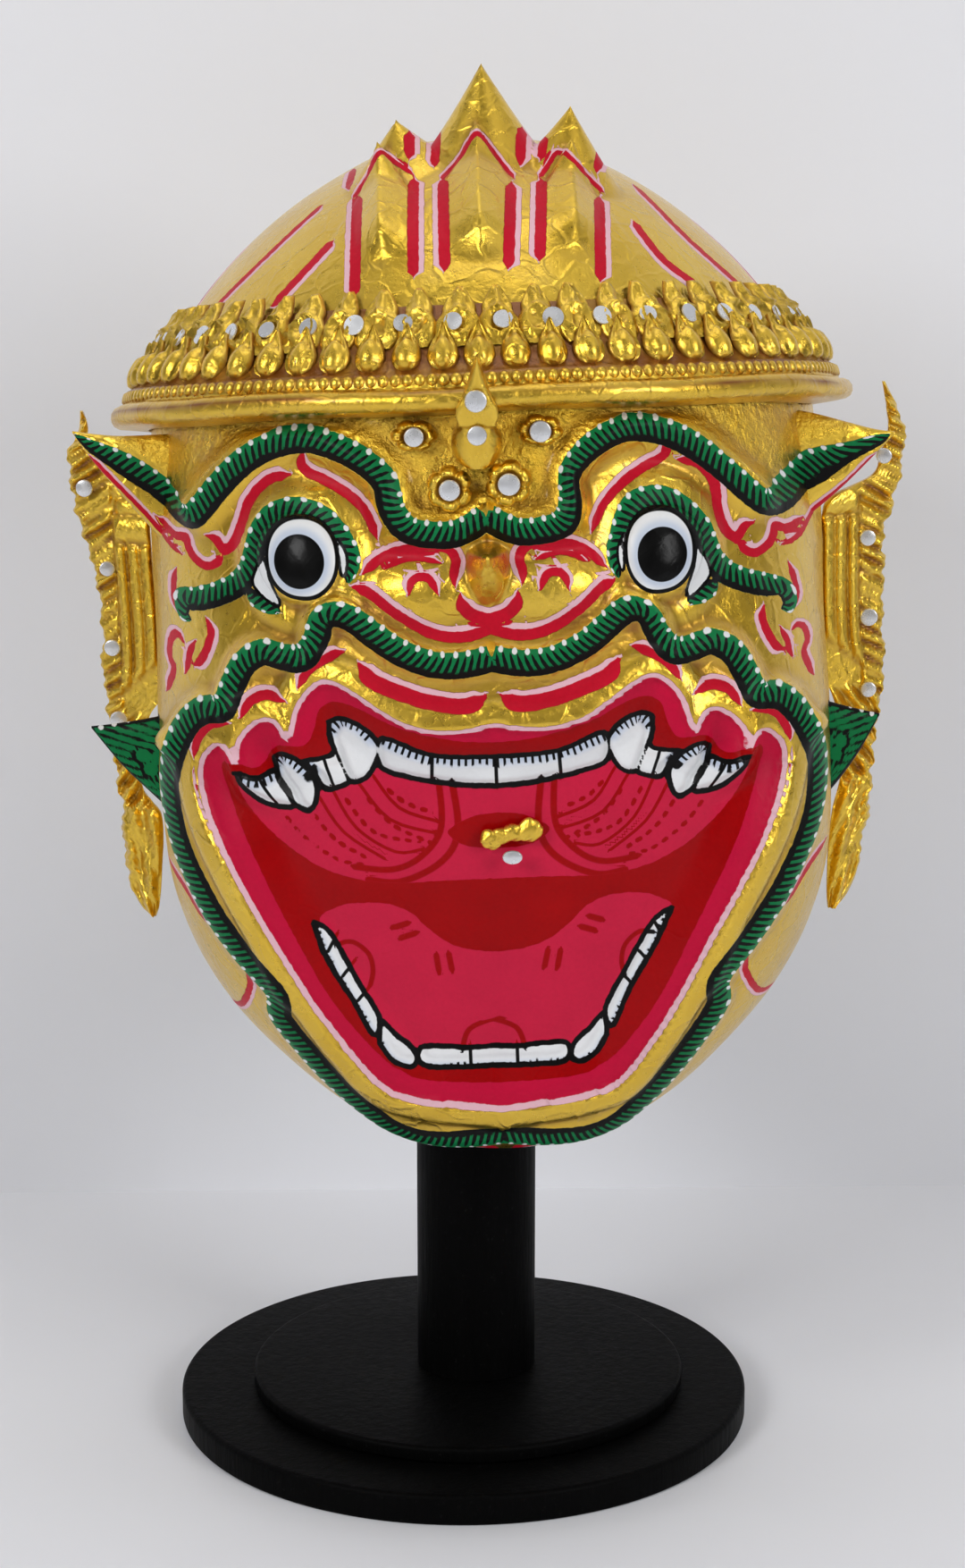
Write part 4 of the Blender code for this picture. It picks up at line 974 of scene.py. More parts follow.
def leaf(top, foot, depth, thickness, side, sections=32, sides=60):
    """Pointed leaf standing out sideways: elliptic sections lofted from its root to its tip, in mm."""
    bm = bmesh.new()
    rings = []
    for step in range(sections):
        share = step / (sections - 1)
        high_x, high = smooth_through(top, share * (len(top) - 1))
        low_x, low = smooth_through(foot, share * (len(foot) - 1))
        half = thickness / 2 * max(1 - share**2, 0.12)
        ring = []
        for corner in range(sides):
            turn = 2 * pi * corner / sides
            up = (1 + cos(turn)) / 2
            dish = 0.35 * half * sin(pi * up)**2 * max(-sin(turn), 0)
            ring.append(bm.verts.new((side * (low_x + (high_x - low_x) * up), depth + half * sin(turn) + dish,
                                      low + (high - low) * up)))
        rings.append(ring)
    for near, far in zip(rings[:-1], rings[1:]):
        for i in range(sides):
            j = (i + 1) % sides
            bm.faces.new((near[i], near[j], far[j], far[i]))
    bm.faces.new(rings[-1])
    bmesh.ops.recalc_face_normals(bm, faces=bm.faces[:])
    return bm


def nearest_band(side, z):
    """Edge distance, place across and place along the nearest green band."""
    edge = np.full(side.shape, FAR)
    across = np.zeros(side.shape)
    along = np.zeros(side.shape)
    for points, half_width, start_taper, end_taper in BANDS:
        offset, run, length = along_line(side, z, points)
        taper = np.minimum(run / start_taper, (length - run) / end_taper)
        width = half_width * np.sqrt(np.clip(taper, 0.02, 1))
        nearer = np.abs(offset) - width < edge
        edge = np.where(nearer, np.abs(offset) - width, edge)
        across = np.where(nearer, offset / width, across)
        along = np.where(nearer, run, along)
    return edge, across, along


def nearest_stroke(x, z, strokes, taper):
    """Nearest stroke: place across it, + on its lilac side, the distance to its middle, and its half width."""
    across = np.full(x.shape, FAR)
    away = np.full(x.shape, FAR)
    widths = np.full(x.shape, 1.0)
    best = np.full(x.shape, FAR)
    for points, half_width, lilac in strokes:
        offset, run, length = along_line(x, z, points)
        # A stroke that ends on the mask's middle joins its mirror image there
        to_end = run if points[-1][0] == 0 else np.minimum(run, length - run)
        width = STROKE_WEIGHT * half_width * (0.3 + 0.7 * ease(to_end / taper + 0.1))
        nearer = np.abs(offset) - width < best
        best = np.where(nearer, np.abs(offset) - width, best)
        across = np.where(nearer, offset * lilac, across)
        away = np.where(nearer, np.abs(offset), away)
        widths = np.where(nearer, width, widths)
    return across, away, widths


def fine_lines(side, low_side, z):
    """Signed place across the nearest fine line, in its half widths, and the distance to it."""
    fine, far = np.full(side.shape, FAR), np.full(side.shape, FAR)
    for line, half_width in FINE_LINES:
        offset, _, _ = along_line(np.where(z < 160, low_side, side), z, line, 4)
        half_width = FINE_WEIGHT * half_width
        nearer = np.abs(offset) / half_width < np.abs(fine)
        fine, far = np.where(nearer, offset / half_width, fine), np.where(nearer, np.abs(offset), far)
    return fine, far


def wing_lines(side, z):
    """Cheek wing: edge distance of its black veins and scroll, and of its white dots."""
    from_tip = (115 - side) * 0.80 - (z - 233) * 0.60
    along_top = (115 - side) * 0.60 + (z - 233) * 0.80
    vein = np.abs((from_tip * 0.35 - along_top) / WING_VEIN_PITCH % 1 - 0.5) * WING_VEIN_PITCH
    lobe = np.full(side.shape, FAR)
    for turn in (0.6, 2.7, 4.8):
        middle = (WING_SCROLL[0] + 2.5 * cos(turn), WING_SCROLL[1] + 2.5 * sin(turn))
        lobe = np.minimum(lobe, np.hypot(side - middle[0], z - middle[1]))
    black = np.where(lobe > 2.9, np.maximum(vein - 0.42, 0.0), np.abs(lobe - 2.5) - 0.4)
    dots = np.full(side.shape, FAR)
    for dot_x, dot_z in WING_DOTS:
        dots = np.minimum(dots, np.hypot(side - dot_x, z - dot_z))
    return black, dots


def on_leaves(x, z):
    """Height in the drawn bands for the ears, and the place in the drawn cheek wing: left and right aren't alike."""
    side = np.abs(x)
    ear_z = z + np.sign(x) * EAR_LEAN * np.clip((side - 88) / 28.5, 0, 1) * (z > 265)
    stretch, root, tip = (np.where(x < 0, left, right) for left, right in zip(WING_FIT[-1], WING_FIT[1]))
    out = np.maximum(side - 94.5, 0) / stretch
    return ear_z, np.minimum(side, 94.5) + out, z - root - (tip - root) * np.clip(out / 20, 0, 1)


def paint_attributes(mesh):
    """Stores on each vertex how near it is to every painted line and area, seen from the front."""
    points, normals = mesh_points(mesh) / MM, mesh_normals(mesh)
    x, y, z = points.T
    front = (normals[:, 1] < 0.3) & (y < PAINT_BACK)
    face = front & (z < band_line(y) + 6)
    crown = (normals[:, 2] > -0.2) & (y < 14) & (z > band_line(y) + 6)

    def on_face(count, values, default=FAR):
        columns = [np.full(len(x), default) for _ in range(count)]
        for column, found in zip(columns, values):
            column[face] = found
        return columns

    ear_z, wing_side, wing_z = on_leaves(x[face], z[face])
    lean = ear_z - z[face]
    fx, fz = drawn_place(x[face], z[face])
    side = np.abs(fx - mouth_lean(fz))
    brow_x, brow_z = drawn_place(x[face], z[face], BROW_INWARD)
    brow_side = np.abs(brow_x - mouth_lean(brow_z))
    stroke_x, stroke_z = drawn_place(x[face], z[face], -RIGHT_INWARD)
    stroke_side = np.abs(stroke_x - mouth_lean(stroke_z))
    low_side = np.abs(fx - mouth_lean(fz, -3.8))
    low = fz < 200
    vector_attribute(mesh, "green", *on_face(3, nearest_band(brow_side, brow_z + lean)))
    red = on_face(3, nearest_stroke(stroke_side, stroke_z + lean, STROKES, 3.0))
    slanted = seen_height(y, z)
    for column, found in zip(red, nearest_stroke(x[crown], slanted[crown], CROWN_STROKES, 1.0)):
        column[crown] = found
    red[2][~(face | crown)] = 0.0
    vector_attribute(mesh, "red", *red)
    above_brow = along_line(brow_side, brow_z + lean, BROW_LINE)[0] - 3.6
    coarse = np.zeros(len(x))
    coarse[face] = ease(above_brow / 2)
    number_attribute(mesh, "coarse", coarse)
    lens = area_edge(side, fz, THROAT_LENS)
    palate = np.maximum(area_edge(side, fz, PALATE_LINE), -lens)
    soft = np.minimum(palate, area_edge(side, fz, TONGUE_LINE))
    lips, inside = area_edge(side, fz, LIP_LINE), area_edge(side, fz, INNER_LINE)
    vector_attribute(mesh, "mouth", *on_face(3, (lips, inside, soft)))
    tooth = np.full(fx.shape, FAR)
    for outline in UPPER_TEETH:
        tooth = np.minimum(tooth, area_edge(side, fz, outline, 4))
    for outline in LOWER_TEETH:
        tooth = np.minimum(tooth, area_edge(low_side, fz, outline, 4))
    root, root_run = np.full(fx.shape, FAR), np.zeros(fx.shape)
    tooth_side = np.where(low, low_side, side)
    for line in ROOT_LINES:
        offset, run, _ = along_line(tooth_side, fz, line, 3)
        away = np.abs(offset) + (LOW_ROOT_FADE if line[0][1] < 200 else 0)
        root, root_run = np.where(away < root, away, root), np.where(away < root, run, root_run)
    vector_attribute(mesh, "teeth", *on_face(3, (tooth, root, root_run)))
    fine, fine_far = fine_lines(side, low_side, fz)
    dash = np.full(fx.shape, FAR)
    for line in DASHED_LINES:
        offset, run, _ = along_line(side, fz, line, 4)
        gap = np.abs((run / DASH_PITCH) % 1 - 0.5) * DASH_PITCH
        dash = np.minimum(dash, np.hypot(offset, np.maximum(gap - 0.55, 0)))
    vector_attribute(mesh, "fine", *on_face(3, (fine, fine_far, dash)))
    wing = area_edge(wing_side, wing_z, WING_LINE)
    wing[np.abs(y[face] - WING_DEPTH) > 0.6 * WING_THICKNESS] = FAR
    vector_attribute(mesh, "wing", *on_face(3, (wing, *wing_lines(wing_side, wing_z))))
    white_x, white_z, wide, high = EYE_WHITE
    white = ((np.abs(side - white_x) / wide)**2.2 + (np.abs(fz - white_z) / high)**2.2)**(1 / 2.2)
    pupil_x, pupil_z, wide, high = PUPIL
    pupil = np.hypot((side - pupil_x) / wide, (fz - pupil_z) / high)
    corner = np.minimum(*[area_edge(side, fz, outline, 3) for outline in EYE_CORNERS])
    vector_attribute(mesh, "eye", *on_face(3, (white, pupil, corner)))


def build_mask(sizes, finish):
    quality = 1.0
    outer = shell_surface(int(sizes.columns * quality), int(sizes.rows * quality), carved=True)
    inner = shell_surface(72, 40, carved=False, inward=sizes.wall / MM)
    bmesh.ops.reverse_faces(inner, faces=inner.faces[:])
    inside = len(outer.faces)
    merge_into(outer, inner)
    outer.faces.ensure_lookup_table()
    for face in outer.faces[inside:]:
        face.material_index = 1
    bmesh.ops.bridge_loops(outer, edges=[edge for edge in outer.edges if edge.is_boundary])
    bmesh.ops.recalc_face_normals(outer, faces=outer.faces[:])
    for edges, depth, thickness in ((EARS, EAR_DEPTH, EAR_THICKNESS), (WINGS, WING_DEPTH, WING_THICKNESS)):
        for side, (top, foot) in edges.items():
            merge_into(outer, leaf(top, foot, depth, thickness, side))
    outer.transform(Matrix.Scale(MM, 4))
    mesh = mesh_from(outer, "mask")
    paint_attributes(mesh)
    return finish_piece("mask", mesh, [painted_material(finish), inside_material()], ["mask_shell"],
                        lacquer_and_shade=0.5)


# Diadem: heights above the band's line and how far it stands out, from the foot up
ROLL_SECTION = ((-3.2, 7.4), (-3.2, 9.6), (-2.6, 11.2), (-1.4, 12.1), (0.0, 12.2), (1.3, 11.5), (2.1, 10.2),
                (2.4, 8.9), (3.0, 8.7), (4.4, 8.9), (6.0, 8.7), (6.6, 7.6), (8.0, 6.6), (14.0, 4.6), (21.0, 3.0),
                (26.0, 1.5), (26.0, 0.9), (10.0, 0.9), (-3.2, 0.9))
TEARDROPS = 62
PETALS_ROUND = 53
BAND_MIRRORS = 43
BEADS = 196


def ring_band(section, columns):
    bm = bmesh.new()
    heights = np.array([row[0] for row in section])
    stand_out = np.array([row[1] for row in section])
    rings = []
    for step in range(columns):
        turn = 2 * pi * step / columns
        uneven = 0.12 * sin(23 * turn) + 0.1 * sin(41 * turn + 1)
        points, normals = band_frame(turn, heights + 0.25 * sin(9 * turn) * (heights < 7))
        rings.append([bm.verts.new(p) for p in points + normals * (stand_out + uneven)[:, None]])
    for near, far in zip(rings, rings[1:] + rings[:1]):
        for i in range(len(near)):
            j = (i + 1) % len(near)
            bm.faces.new((near[i], near[j], far[j], far[i]))
    bmesh.ops.recalc_face_normals(bm, faces=bm.faces[:])
    return bm


def build_band(finish):
    """The ring that carries the diadem: a half-round roll below, a shelf for the beads, a back above."""
    bm = ring_band(ROLL_SECTION, 420)
    bmesh.ops.subdivide_edges(bm, edges=[e for e in bm.edges if e.calc_length() > 4], cuts=1)
    points = np.array([v.co[:] for v in bm.verts])
    above = points[:, 2] - band_line(points[:, 1])
    bm.transform(Matrix.Scale(MM, 4))
    mesh = mesh_from(bm, "band")
    # Painted shade: lacquer colour in the groove between the roll and the beads, over the whole back from behind the
    # beads up, and under the roll's foot.
    lacquer_and_shade = np.maximum(ease(1 - np.abs(above - 2.6) / 1.0), ease((above - 5) / 3))
    number_attribute(mesh, "lacquer_and_shade", np.clip(lacquer_and_shade + 0.6 * ease((-2.2 - above) / 1.5), 0, 1))
    return finish_piece("diadem_band_gilt", mesh, [finish], ["diadem_band"], sharp=70)


def set_round_band(count, shift, grid, height, foot, seats):
    """Relief ornaments round the band. grid(number) gives rows of (share, place across, stand-out) points."""
    bm = bmesh.new()
    lacquer_and_shade = []
    for number in range(count):
        azimuth = 2 * pi * (number + shift) / count
        rows = grid(number)
        heights = foot + height * rows[:, 0, 0]
        points, normals = band_frame(azimuth, heights)
        beside, _ = band_frame(azimuth + 0.01, heights)
        across = (beside - points) / np.linalg.norm(beside - points, axis=1, keepdims=True)
        rings = []
        for row, point, normal, sideways in zip(rows, points, normals, across):
            base = seats[0] + (seats[1] - seats[0]) * row[0, 0]
            ring = []
            for _, place, rise in row:
                ring.append(bm.verts.new(point + sideways * place + normal * (base + rise)))
                # Painted shade at each ornament's foot: the lower a point stands, the more lacquer colour it takes.
                lacquer_and_shade.append(np.clip(1.1 - rise / 0.9, 0, 1))
            rings.append(ring)
        for near, far in zip(rings[:-1], rings[1:]):
            for i in range(len(near) - 1):
                bm.faces.new((near[i], near[i + 1], far[i + 1], far[i]))
    bmesh.ops.recalc_face_normals(bm, faces=bm.faces[:])
    bm.transform(Matrix.Scale(MM, 4))
    return bm, lacquer_and_shade


def teardrop_grid(number):
    """A bulb inside a thin raised outline that draws up to a point."""
    widths = ((0.0, 0.8), (0.05, 2.5), (0.14, 3.7), (0.28, 4.4), (0.42, 4.3), (0.56, 3.5), (0.7, 2.4), (0.84, 1.3),
              (0.94, 0.6), (1.0, 0.1))
    shares = np.linspace(0, 1, 15)
    half = np.interp(shares, *zip(*widths)) * (1 + 0.06 * sin(5.1 * number))
    across = np.cos(np.linspace(0, pi, 13))
    share, u = np.meshgrid(shares, across, indexing="ij")
    place = half[:, None] * u
    bulb = np.clip(1 - (place / 3.3)**2 - ((share * 12.5 - 4.3) / 4.2)**2, 0, 1)
    tip = 1.5 * np.clip(1 - (place / 1.4)**2, 0, 1) * ease((share - 0.45) / 0.3) * (1 - 0.6 * share)
    rim = 0.8 * ridge(np.abs(np.abs(u) - 0.86), 0.14) + 0.8 * ridge(np.abs(share - 0.04), 0.07) * (np.abs(u) < 0.9)
    edge = np.clip((1 - np.abs(u)) * 8, 0, 1) * np.clip(share * 12, 0, 1)
    rise = (0.8 + 3.0 * np.sqrt(bulb) + tip + rim) * edge
    return np.stack([share, place, rise], -1)


def petal_grid(number):
    """A lumpy leaf with a collar round its mirror, a rib above it and a pointed top."""
    widths = ((0.0, 4.2), (0.1, 5.6), (0.25, 6.2), (0.4, 6.0), (0.5, 4.8), (0.56, 4.2), (0.64, 4.4), (0.74, 3.4),
              (0.84, 2.4), (0.93, 1.2), (1.0, 0.1))
    shares = np.linspace(0, 1, 19)
    half = np.interp(shares, *zip(*widths)) * (1 + 0.1 * sin(3.3 * number))
    across = np.cos(np.linspace(0, pi, 13))
    share, u = np.meshgrid(shares, across, indexing="ij")
    lean = 0.7 * sin(2.7 * number) * share**2
    place = half[:, None] * u
    collar = 1.7 * ridge(np.abs(np.hypot(place, share * 17.5 - 6.4) - 3.4), 1.3)
    rib = 1.6 * np.clip(1 - (place / 1.7)**2, 0, 1) * ease((share - 0.5) / 0.1)
    lumps = 0.5 * np.sin(3.1 * place + 9 * share + number) * np.cos(17 * share + 2 * number)
    edge = np.clip((1 - np.abs(u)) * 6, 0, 1) * np.clip((1 - share) * 10, 0, 1)
    rise = (1.0 + collar + rib + lumps + 0.9 * np.abs(u)**3) * edge
    return np.stack([share, place + lean, np.maximum(rise, 0)], -1)


def bead_grid(number):
    """A flat ring bead, dished in the middle."""
    shares = np.linspace(0, 1, 6)
    across = np.cos(np.linspace(0, pi, 6))
    share, u = np.meshgrid(shares, across, indexing="ij")
    half = 1.75 * np.sqrt(np.clip(1 - (2 * share - 1)**2, 0.02, 1))
    place = half * u
    away = np.hypot(place / 1.75, 2 * share - 1)
    rise = 1.15 * np.clip(1 - away**4, 0, 1) - 0.35 * ridge(away, 0.5)
    return np.stack([share, place, np.maximum(rise, 0)], -1)


def discs_on_band(count, height, radius, stand_out, shift, sides=20):
    """Small mirrors round the band, each tilted a little its own way."""
    bm = bmesh.new()
    for number in range(count):
        azimuth = 2 * pi * (number + shift) / count
        (low, high), normals = band_frame(azimuth, np.array([height - radius, height + radius]))
        normal = normals.mean(0) / np.linalg.norm(normals.mean(0))
        up = (high - low) / np.linalg.norm(high - low)
        sideways = np.cross(up, normal)
        centre = (low + high) / 2 + normal * stand_out
        tilt = normal + sideways * 0.12 * sin(3.7 * number) + up * 0.1 * cos(2.3 * number)
        tilt /= np.linalg.norm(tilt)
        sideways = np.cross(up, tilt)
        up = np.cross(tilt, sideways)
        wide = radius * (1 + 0.08 * sin(7.9 * number))
        disc = bmesh.new()
        bmesh.ops.create_circle(disc, cap_ends=True, segments=sides, radius=wide)
        grown = bmesh.ops.extrude_face_region(disc, geom=disc.faces[:])["geom"]
        bmesh.ops.translate(disc, verts=[g for g in grown if isinstance(g, bmesh.types.BMVert)], vec=(0, 0, 0.5))
        place = Matrix([[*row, at] for row, at in zip(np.stack([sideways, up, tilt], 1).tolist(), centre.tolist())]
                       + [[0, 0, 0, 1]])
        disc.transform(place)
        merge_into(bm, disc)
    bmesh.ops.recalc_face_normals(bm, faces=bm.faces[:])
    bm.transform(Matrix.Scale(MM, 4))
    return bm


def build_diadem(finish, mirror):
    build_band(finish)
    for name, count, shift, grid, height, foot, seats in (
            ("diadem_teardrops", TEARDROPS, 0.0, teardrop_grid, 12.5, 7.0, (6.4, 4.9)),
            ("diadem_petals", PETALS_ROUND, 0.5, petal_grid, 17.5, 13.5, (4.2, 1.4)),
            ("diadem_beads", BEADS, 0.0, bead_grid, 3.4, 2.8, (8.6, 8.5))):
        ornaments, lacquer_and_shade = set_round_band(count, shift, grid, height, foot, seats)
        mesh = mesh_from(ornaments, name)
        number_attribute(mesh, "lacquer_and_shade", lacquer_and_shade)
        finish_piece(name, mesh, [finish])
    discs = discs_on_band(BAND_MIRRORS, 19.9, 2.7, 5.2, 0.5)
    finish_piece("diadem_mirrors", mesh_from(discs, "discs"), [mirror], sharp=40)


# Ornaments
def turned(profile, steps):
    """Turned solid: a profile of (radius, height) spun about Z, with its ends on the axis."""
    bm = bmesh.new()
    line = [bm.verts.new((radius, 0, height)) for radius, height in profile]
    edges = [bm.edges.new(pair) for pair in zip(line[:-1], line[1:])]
    bmesh.ops.spin(bm, geom=line + edges, cent=(0, 0, 0), axis=(0, 0, 1), angle=2 * pi, steps=steps, use_merge=True)
    bmesh.ops.remove_doubles(bm, verts=bm.verts[:], dist=1e-4)
    bmesh.ops.recalc_face_normals(bm, faces=bm.faces[:])
    return bm


def node_face(node):
    """Middle and size in mm of a CAD node, in the frame."""
    low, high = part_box(node)
    return (low + high) / 2 / MM, (high - low) / MM


def lumps_of(points, scale):
    """Small uneven height of hand-laid lacquer paste, in mm, at points in mm."""
    x, y, z = np.asarray(points).T * scale
    return (np.sin(x * 1.9 + np.sin(z * 1.3)) * np.sin(z * 2.3 + y) + 0.6 * np.sin(x * 4.1 - z * 3.3 + y * 2)) * 0.5


def build_rosettes(finish):
    """Flower bosses on the forehead: thick lobed rims round a sunk seat."""
    names = ["forehead_boss_left_upper", "forehead_boss_right_upper", "forehead_boss_left_lower",
             "forehead_boss_right_lower"]
    rosettes = bmesh.new()
    for number, name in enumerate(names):
        middle, size = node_face(name)
        bm = turned(((0, 0.35), (0.42, 0.35), (0.5, 0.6), (0.6, 0.95), (0.72, 1.0), (0.84, 0.85), (0.94, 0.5),
                     (1.0, 0.0)), 96)
        for vertex in bm.verts:
            turn = np.arctan2(vertex.co.y, vertex.co.x)
            radius = vertex.co.to_2d().length
            lobe = abs(cos(3 * turn + 0.7 * number))
            vertex.co.z *= 1 - 0.35 * (1 - lobe)**2 * ease((radius - 0.5) / 0.15)
            vertex.co.z += 0.07 * sin(11 * turn + 3 * radius + number) * ease((radius - 0.5) / 0.2) * (radius < 0.99)
            vertex.co.xy *= 1 - 0.16 * radius**4 * (1 - lobe)**1.5
        bm.transform(Matrix.Translation((middle.x, middle.y + size.y / 2, middle.z)) @ Matrix.Rotation(pi / 2, 4, "X")
                     @ Matrix.Diagonal((size.x / 2, size.z / 2, size.y, 1)))
        merge_into(rosettes, bm)
    rosettes.transform(Matrix.Scale(MM, 4))
    finish_piece("rosettes", mesh_from(rosettes, "rosettes"), [finish], names, seat=False, lacquer_and_shade=0.25)


def build_mouth_jewel(finish):
    """The jewel in the mouth: three joined lumps of gilt paste, lying a little aslant."""
    middle, size = node_face("mouth_jewel")
    jewel = bmesh.new()
    lobes = ((-5.6, -1.4, 3.1, 3.0), (-2.6, -0.4, 3.0, 2.5), (0.6, 0.5, 3.6, 2.6), (5.0, 1.2, 3.6, 3.3))
    for x, z, wide, high in lobes:
        lump = bmesh.new()
        bmesh.ops.create_icosphere(lump, subdivisions=5, radius=1)
        for vertex in lump.verts:
            vertex.co *= 1 + 0.13 * float(lumps_of([(vertex.co + Vector((x, 0, z))) * 1.6], 1.0)[0])
            vertex.co = (x + vertex.co.x * wide, vertex.co.y * size.y * 0.48, z + vertex.co.z * high)
        merge_into(jewel, lump)
    jewel.transform(Matrix.Scale(MM, 4) @ Matrix.Translation(middle))
    finish_piece("mouth_jewel_gilt", mesh_from(jewel, "jewel"), [finish], ["mouth_jewel"], seat=False,
                 lacquer_and_shade=0.12)


def build_finial(finish):
    """Pointed upright leaf before the band, on a lobed foot."""
    middle, size = node_face("forehead_finial")
    outline = ((0.0, 3.2), (0.03, 4.8), (0.09, 6.2), (0.18, 7.0), (0.28, 6.8), (0.36, 5.4), (0.4, 4.9), (0.46, 5.7),
               (0.54, 5.6), (0.62, 4.2), (0.7, 3.2), (0.82, 2.0), (0.93, 1.0), (1.0, 0.15))
    rows, sides = 60, 24
    bm = bmesh.new()
    grid = []
    for step in range(rows + 1):
        share = step / rows
        half = np.interp(share, *zip(*outline))
        z = middle.z - size.z / 2 + size.z * share
        front = middle.y + size.y / 2 - np.interp(share, (0, 0.35, 1), (8.6, 12.5, size.y * 0.97))
        back = middle.y + size.y / 2 - (0.3 if share < 0.38 else 11.8)
        ring = []
        for corner in range(sides + 1):
            turn = pi * corner / sides
            dome = sin(turn)**0.6
            seat_dip = 1.1 * (ridge(np.hypot(half * cos(turn), z - middle.z + 5.7), 3.6)
                              + ridge(np.hypot(half * cos(turn), z - middle.z - 3.6), 3.6))
            ring.append(bm.verts.new((middle.x + half * cos(turn), back + (front - back) * dome + seat_dip, z)))
        grid.append(ring)
    for near, far in zip(grid[:-1], grid[1:]):
        for i in range(sides):
            bm.faces.new((near[i], near[i + 1], far[i + 1], far[i]))
        bm.faces.new((near[0], far[0], far[-1], near[-1]))
    bmesh.ops.recalc_face_normals(bm, faces=bm.faces[:])
    bm.transform(Matrix.Scale(MM, 4))
    finish_piece("finial_leaf", mesh_from(bm, "finial"), [finish], ["forehead_finial"], seat=False,
                 lacquer_and_shade=0.4)


def build_mirrors(mirror):
    """Small round mirrors on the forehead, mouth and ear flaps, where the frame's discs are."""
    nodes = sorted(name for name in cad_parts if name.startswith("mirror_"))
    discs = bmesh.new()
    for number, name in enumerate(nodes):
        middle, size = node_face(name)
        bm = turned(((0, 0), (0.96, 0), (1, 0.2), (0.93, 0.9), (0.85, 1), (0, 1)), 28)
        small = 0.86 if name.startswith("mirror_flap") else 1.0
        radius = size.x / 2 * (0.93 + 0.07 * sin(4.3 * number)) * small
        high = radius * (0.7 if name == "mirror_mouth" else 1.0)
        tilt = Matrix.Rotation(0.1 * sin(2.9 * number), 4, "Z")
        bm.transform(Matrix.Translation((middle.x, middle.y + size.y / 2, middle.z)) @ tilt
                     @ Matrix.Rotation(pi / 2, 4, "X") @ Matrix.Diagonal((radius, high, size.y, 1)))
        merge_into(discs, bm)
    discs.transform(Matrix.Scale(MM, 4))
    finish_piece("mirrors", mesh_from(discs, "mirrors"), [mirror], nodes, seat=False, sharp=40)


# Ear flaps: height, inner edge and outer edge on each side, from the curled tip to the tongue's end.
# An inner edge of 0 follows the head's side
FLAPS = {
    "left": ((322.5, 118.6, 119.4), (318, 117.3, 119.8), (313, 117.6, 122), (309, 114.5, 124), (304, 108, 123.8),
             (298, 99, 123.2), (292, 0, 122.4), (286, 0, 120.8), (277, 0, 118.4), (270, 0, 117.3), (262, 0, 116.6),
             (253, 0, 116.8), (245, 0, 117.6), (237, 99.5, 116.6), (231, 103.5, 116.8), (223, 106.3, 115.6),
             (215, 107.6, 115.4), (208, 107.4, 114.8), (204, 104.8, 114.2), (200, 102, 114), (192, 101.9, 114.4),
             (184, 102.8, 113.8), (177, 103.6, 113.1), (171, 104.6, 110.2), (168.2, 105.6, 107.2)),
    "right": ((321.5, 119.4, 120.2), (317, 120.2, 122.4), (312, 120.8, 124.4), (307, 121, 126), (300, 118.4, 125.6),
              (294, 115.8, 124.6), (289, 103, 123), (284, 0, 121.8), (276, 0, 118.8), (267, 0, 119), (257, 0, 118.4),
              (247, 0, 118.2), (236, 99.5, 118.5), (229, 102, 117.8), (222, 104, 116.6), (214, 105, 115.2),
              (206, 104.8, 114.4), (200, 103.6, 113.8), (194, 101.8, 113.4), (187, 100.6, 111.8), (180, 99.9, 110.2),
              (173, 99.5, 109), (167, 99.3, 106), (163, 99.5, 102.5)),
}
FLAP_DEPTH = -13.0
FLAP_SWEEP = 0.45
FLAP_THICKNESS = 3.5


def side_width(z):
    heights = [side[1] for _, side, *_ in STATIONS]
    widths = [side[0] for _, side, *_ in STATIONS]
    return np.interp(z, heights[::-1], widths[::-1])


def flap_relief(x, z, inner, outer, number):
    """Height in mm of the flap's modelled face: two round ribs under a cap, a leafy strip outside, a long tongue."""
    from_head = x - side_width(z)
    shaft = ease((z - 236 - 0.8 * (112 - x)) / 4) * ease((284 - z) / 2.5)
    ribs = np.zeros(x.shape)
    for rib_x, radius in ((2.2, 2.5), (6.2, 2.2), (10.2, 1.9)):
        swerve = rib_x + 1.5 * ease((250 - z) / 20)
        ribs = np.maximum(ribs, 2.4 * np.sqrt(np.clip(1 - ((from_head - swerve) / radius)**2, 0, 1)))
    cap = 2.6 * np.sqrt(np.clip(1 - ((z - 287.5) / 4.2)**2, 0, 1)) * ease((112 - x) / 1.5)
    cap = np.maximum(cap, 1.6 * np.sqrt(np.clip(1 - ((z - 294) / 2.4)**2, 0, 1)) * ease((111 - x) / 2))
    leafy = 1.5 * np.abs(np.sin(z * 0.62 + 0.35 * (x - outer) + number)) * ease((from_head - 11.5) / 1.5)
    leafy += 0.7 * np.sin(z * 1.45 + 0.9 * x + number) * ease((from_head - 11.5) / 1.5)
    tongue = ease((205 - z) / 5)
    middle = (x - inner) / (outer - inner + 0.01)
    folds = 2.2 * np.sqrt(np.clip(1 - (2 * middle - 1)**2, 0, 1))
    folds += 0.8 * np.sin(9.5 * middle + 0.16 * z + 1.3 * np.sin(z / 9 + number)) + 0.4 * np.sin(17 * middle - 0.3 * z)
    stem = 1.6 * np.sin(z * 0.75 + 1.1 * x) * ease((232 - z) / 4)
    relief = ribs * shaft + cap + leafy * (1 - tongue) * (1 - 0.5 * ease((232 - z) / 4))
    return relief + stem * (1 - tongue) + tongue * folds


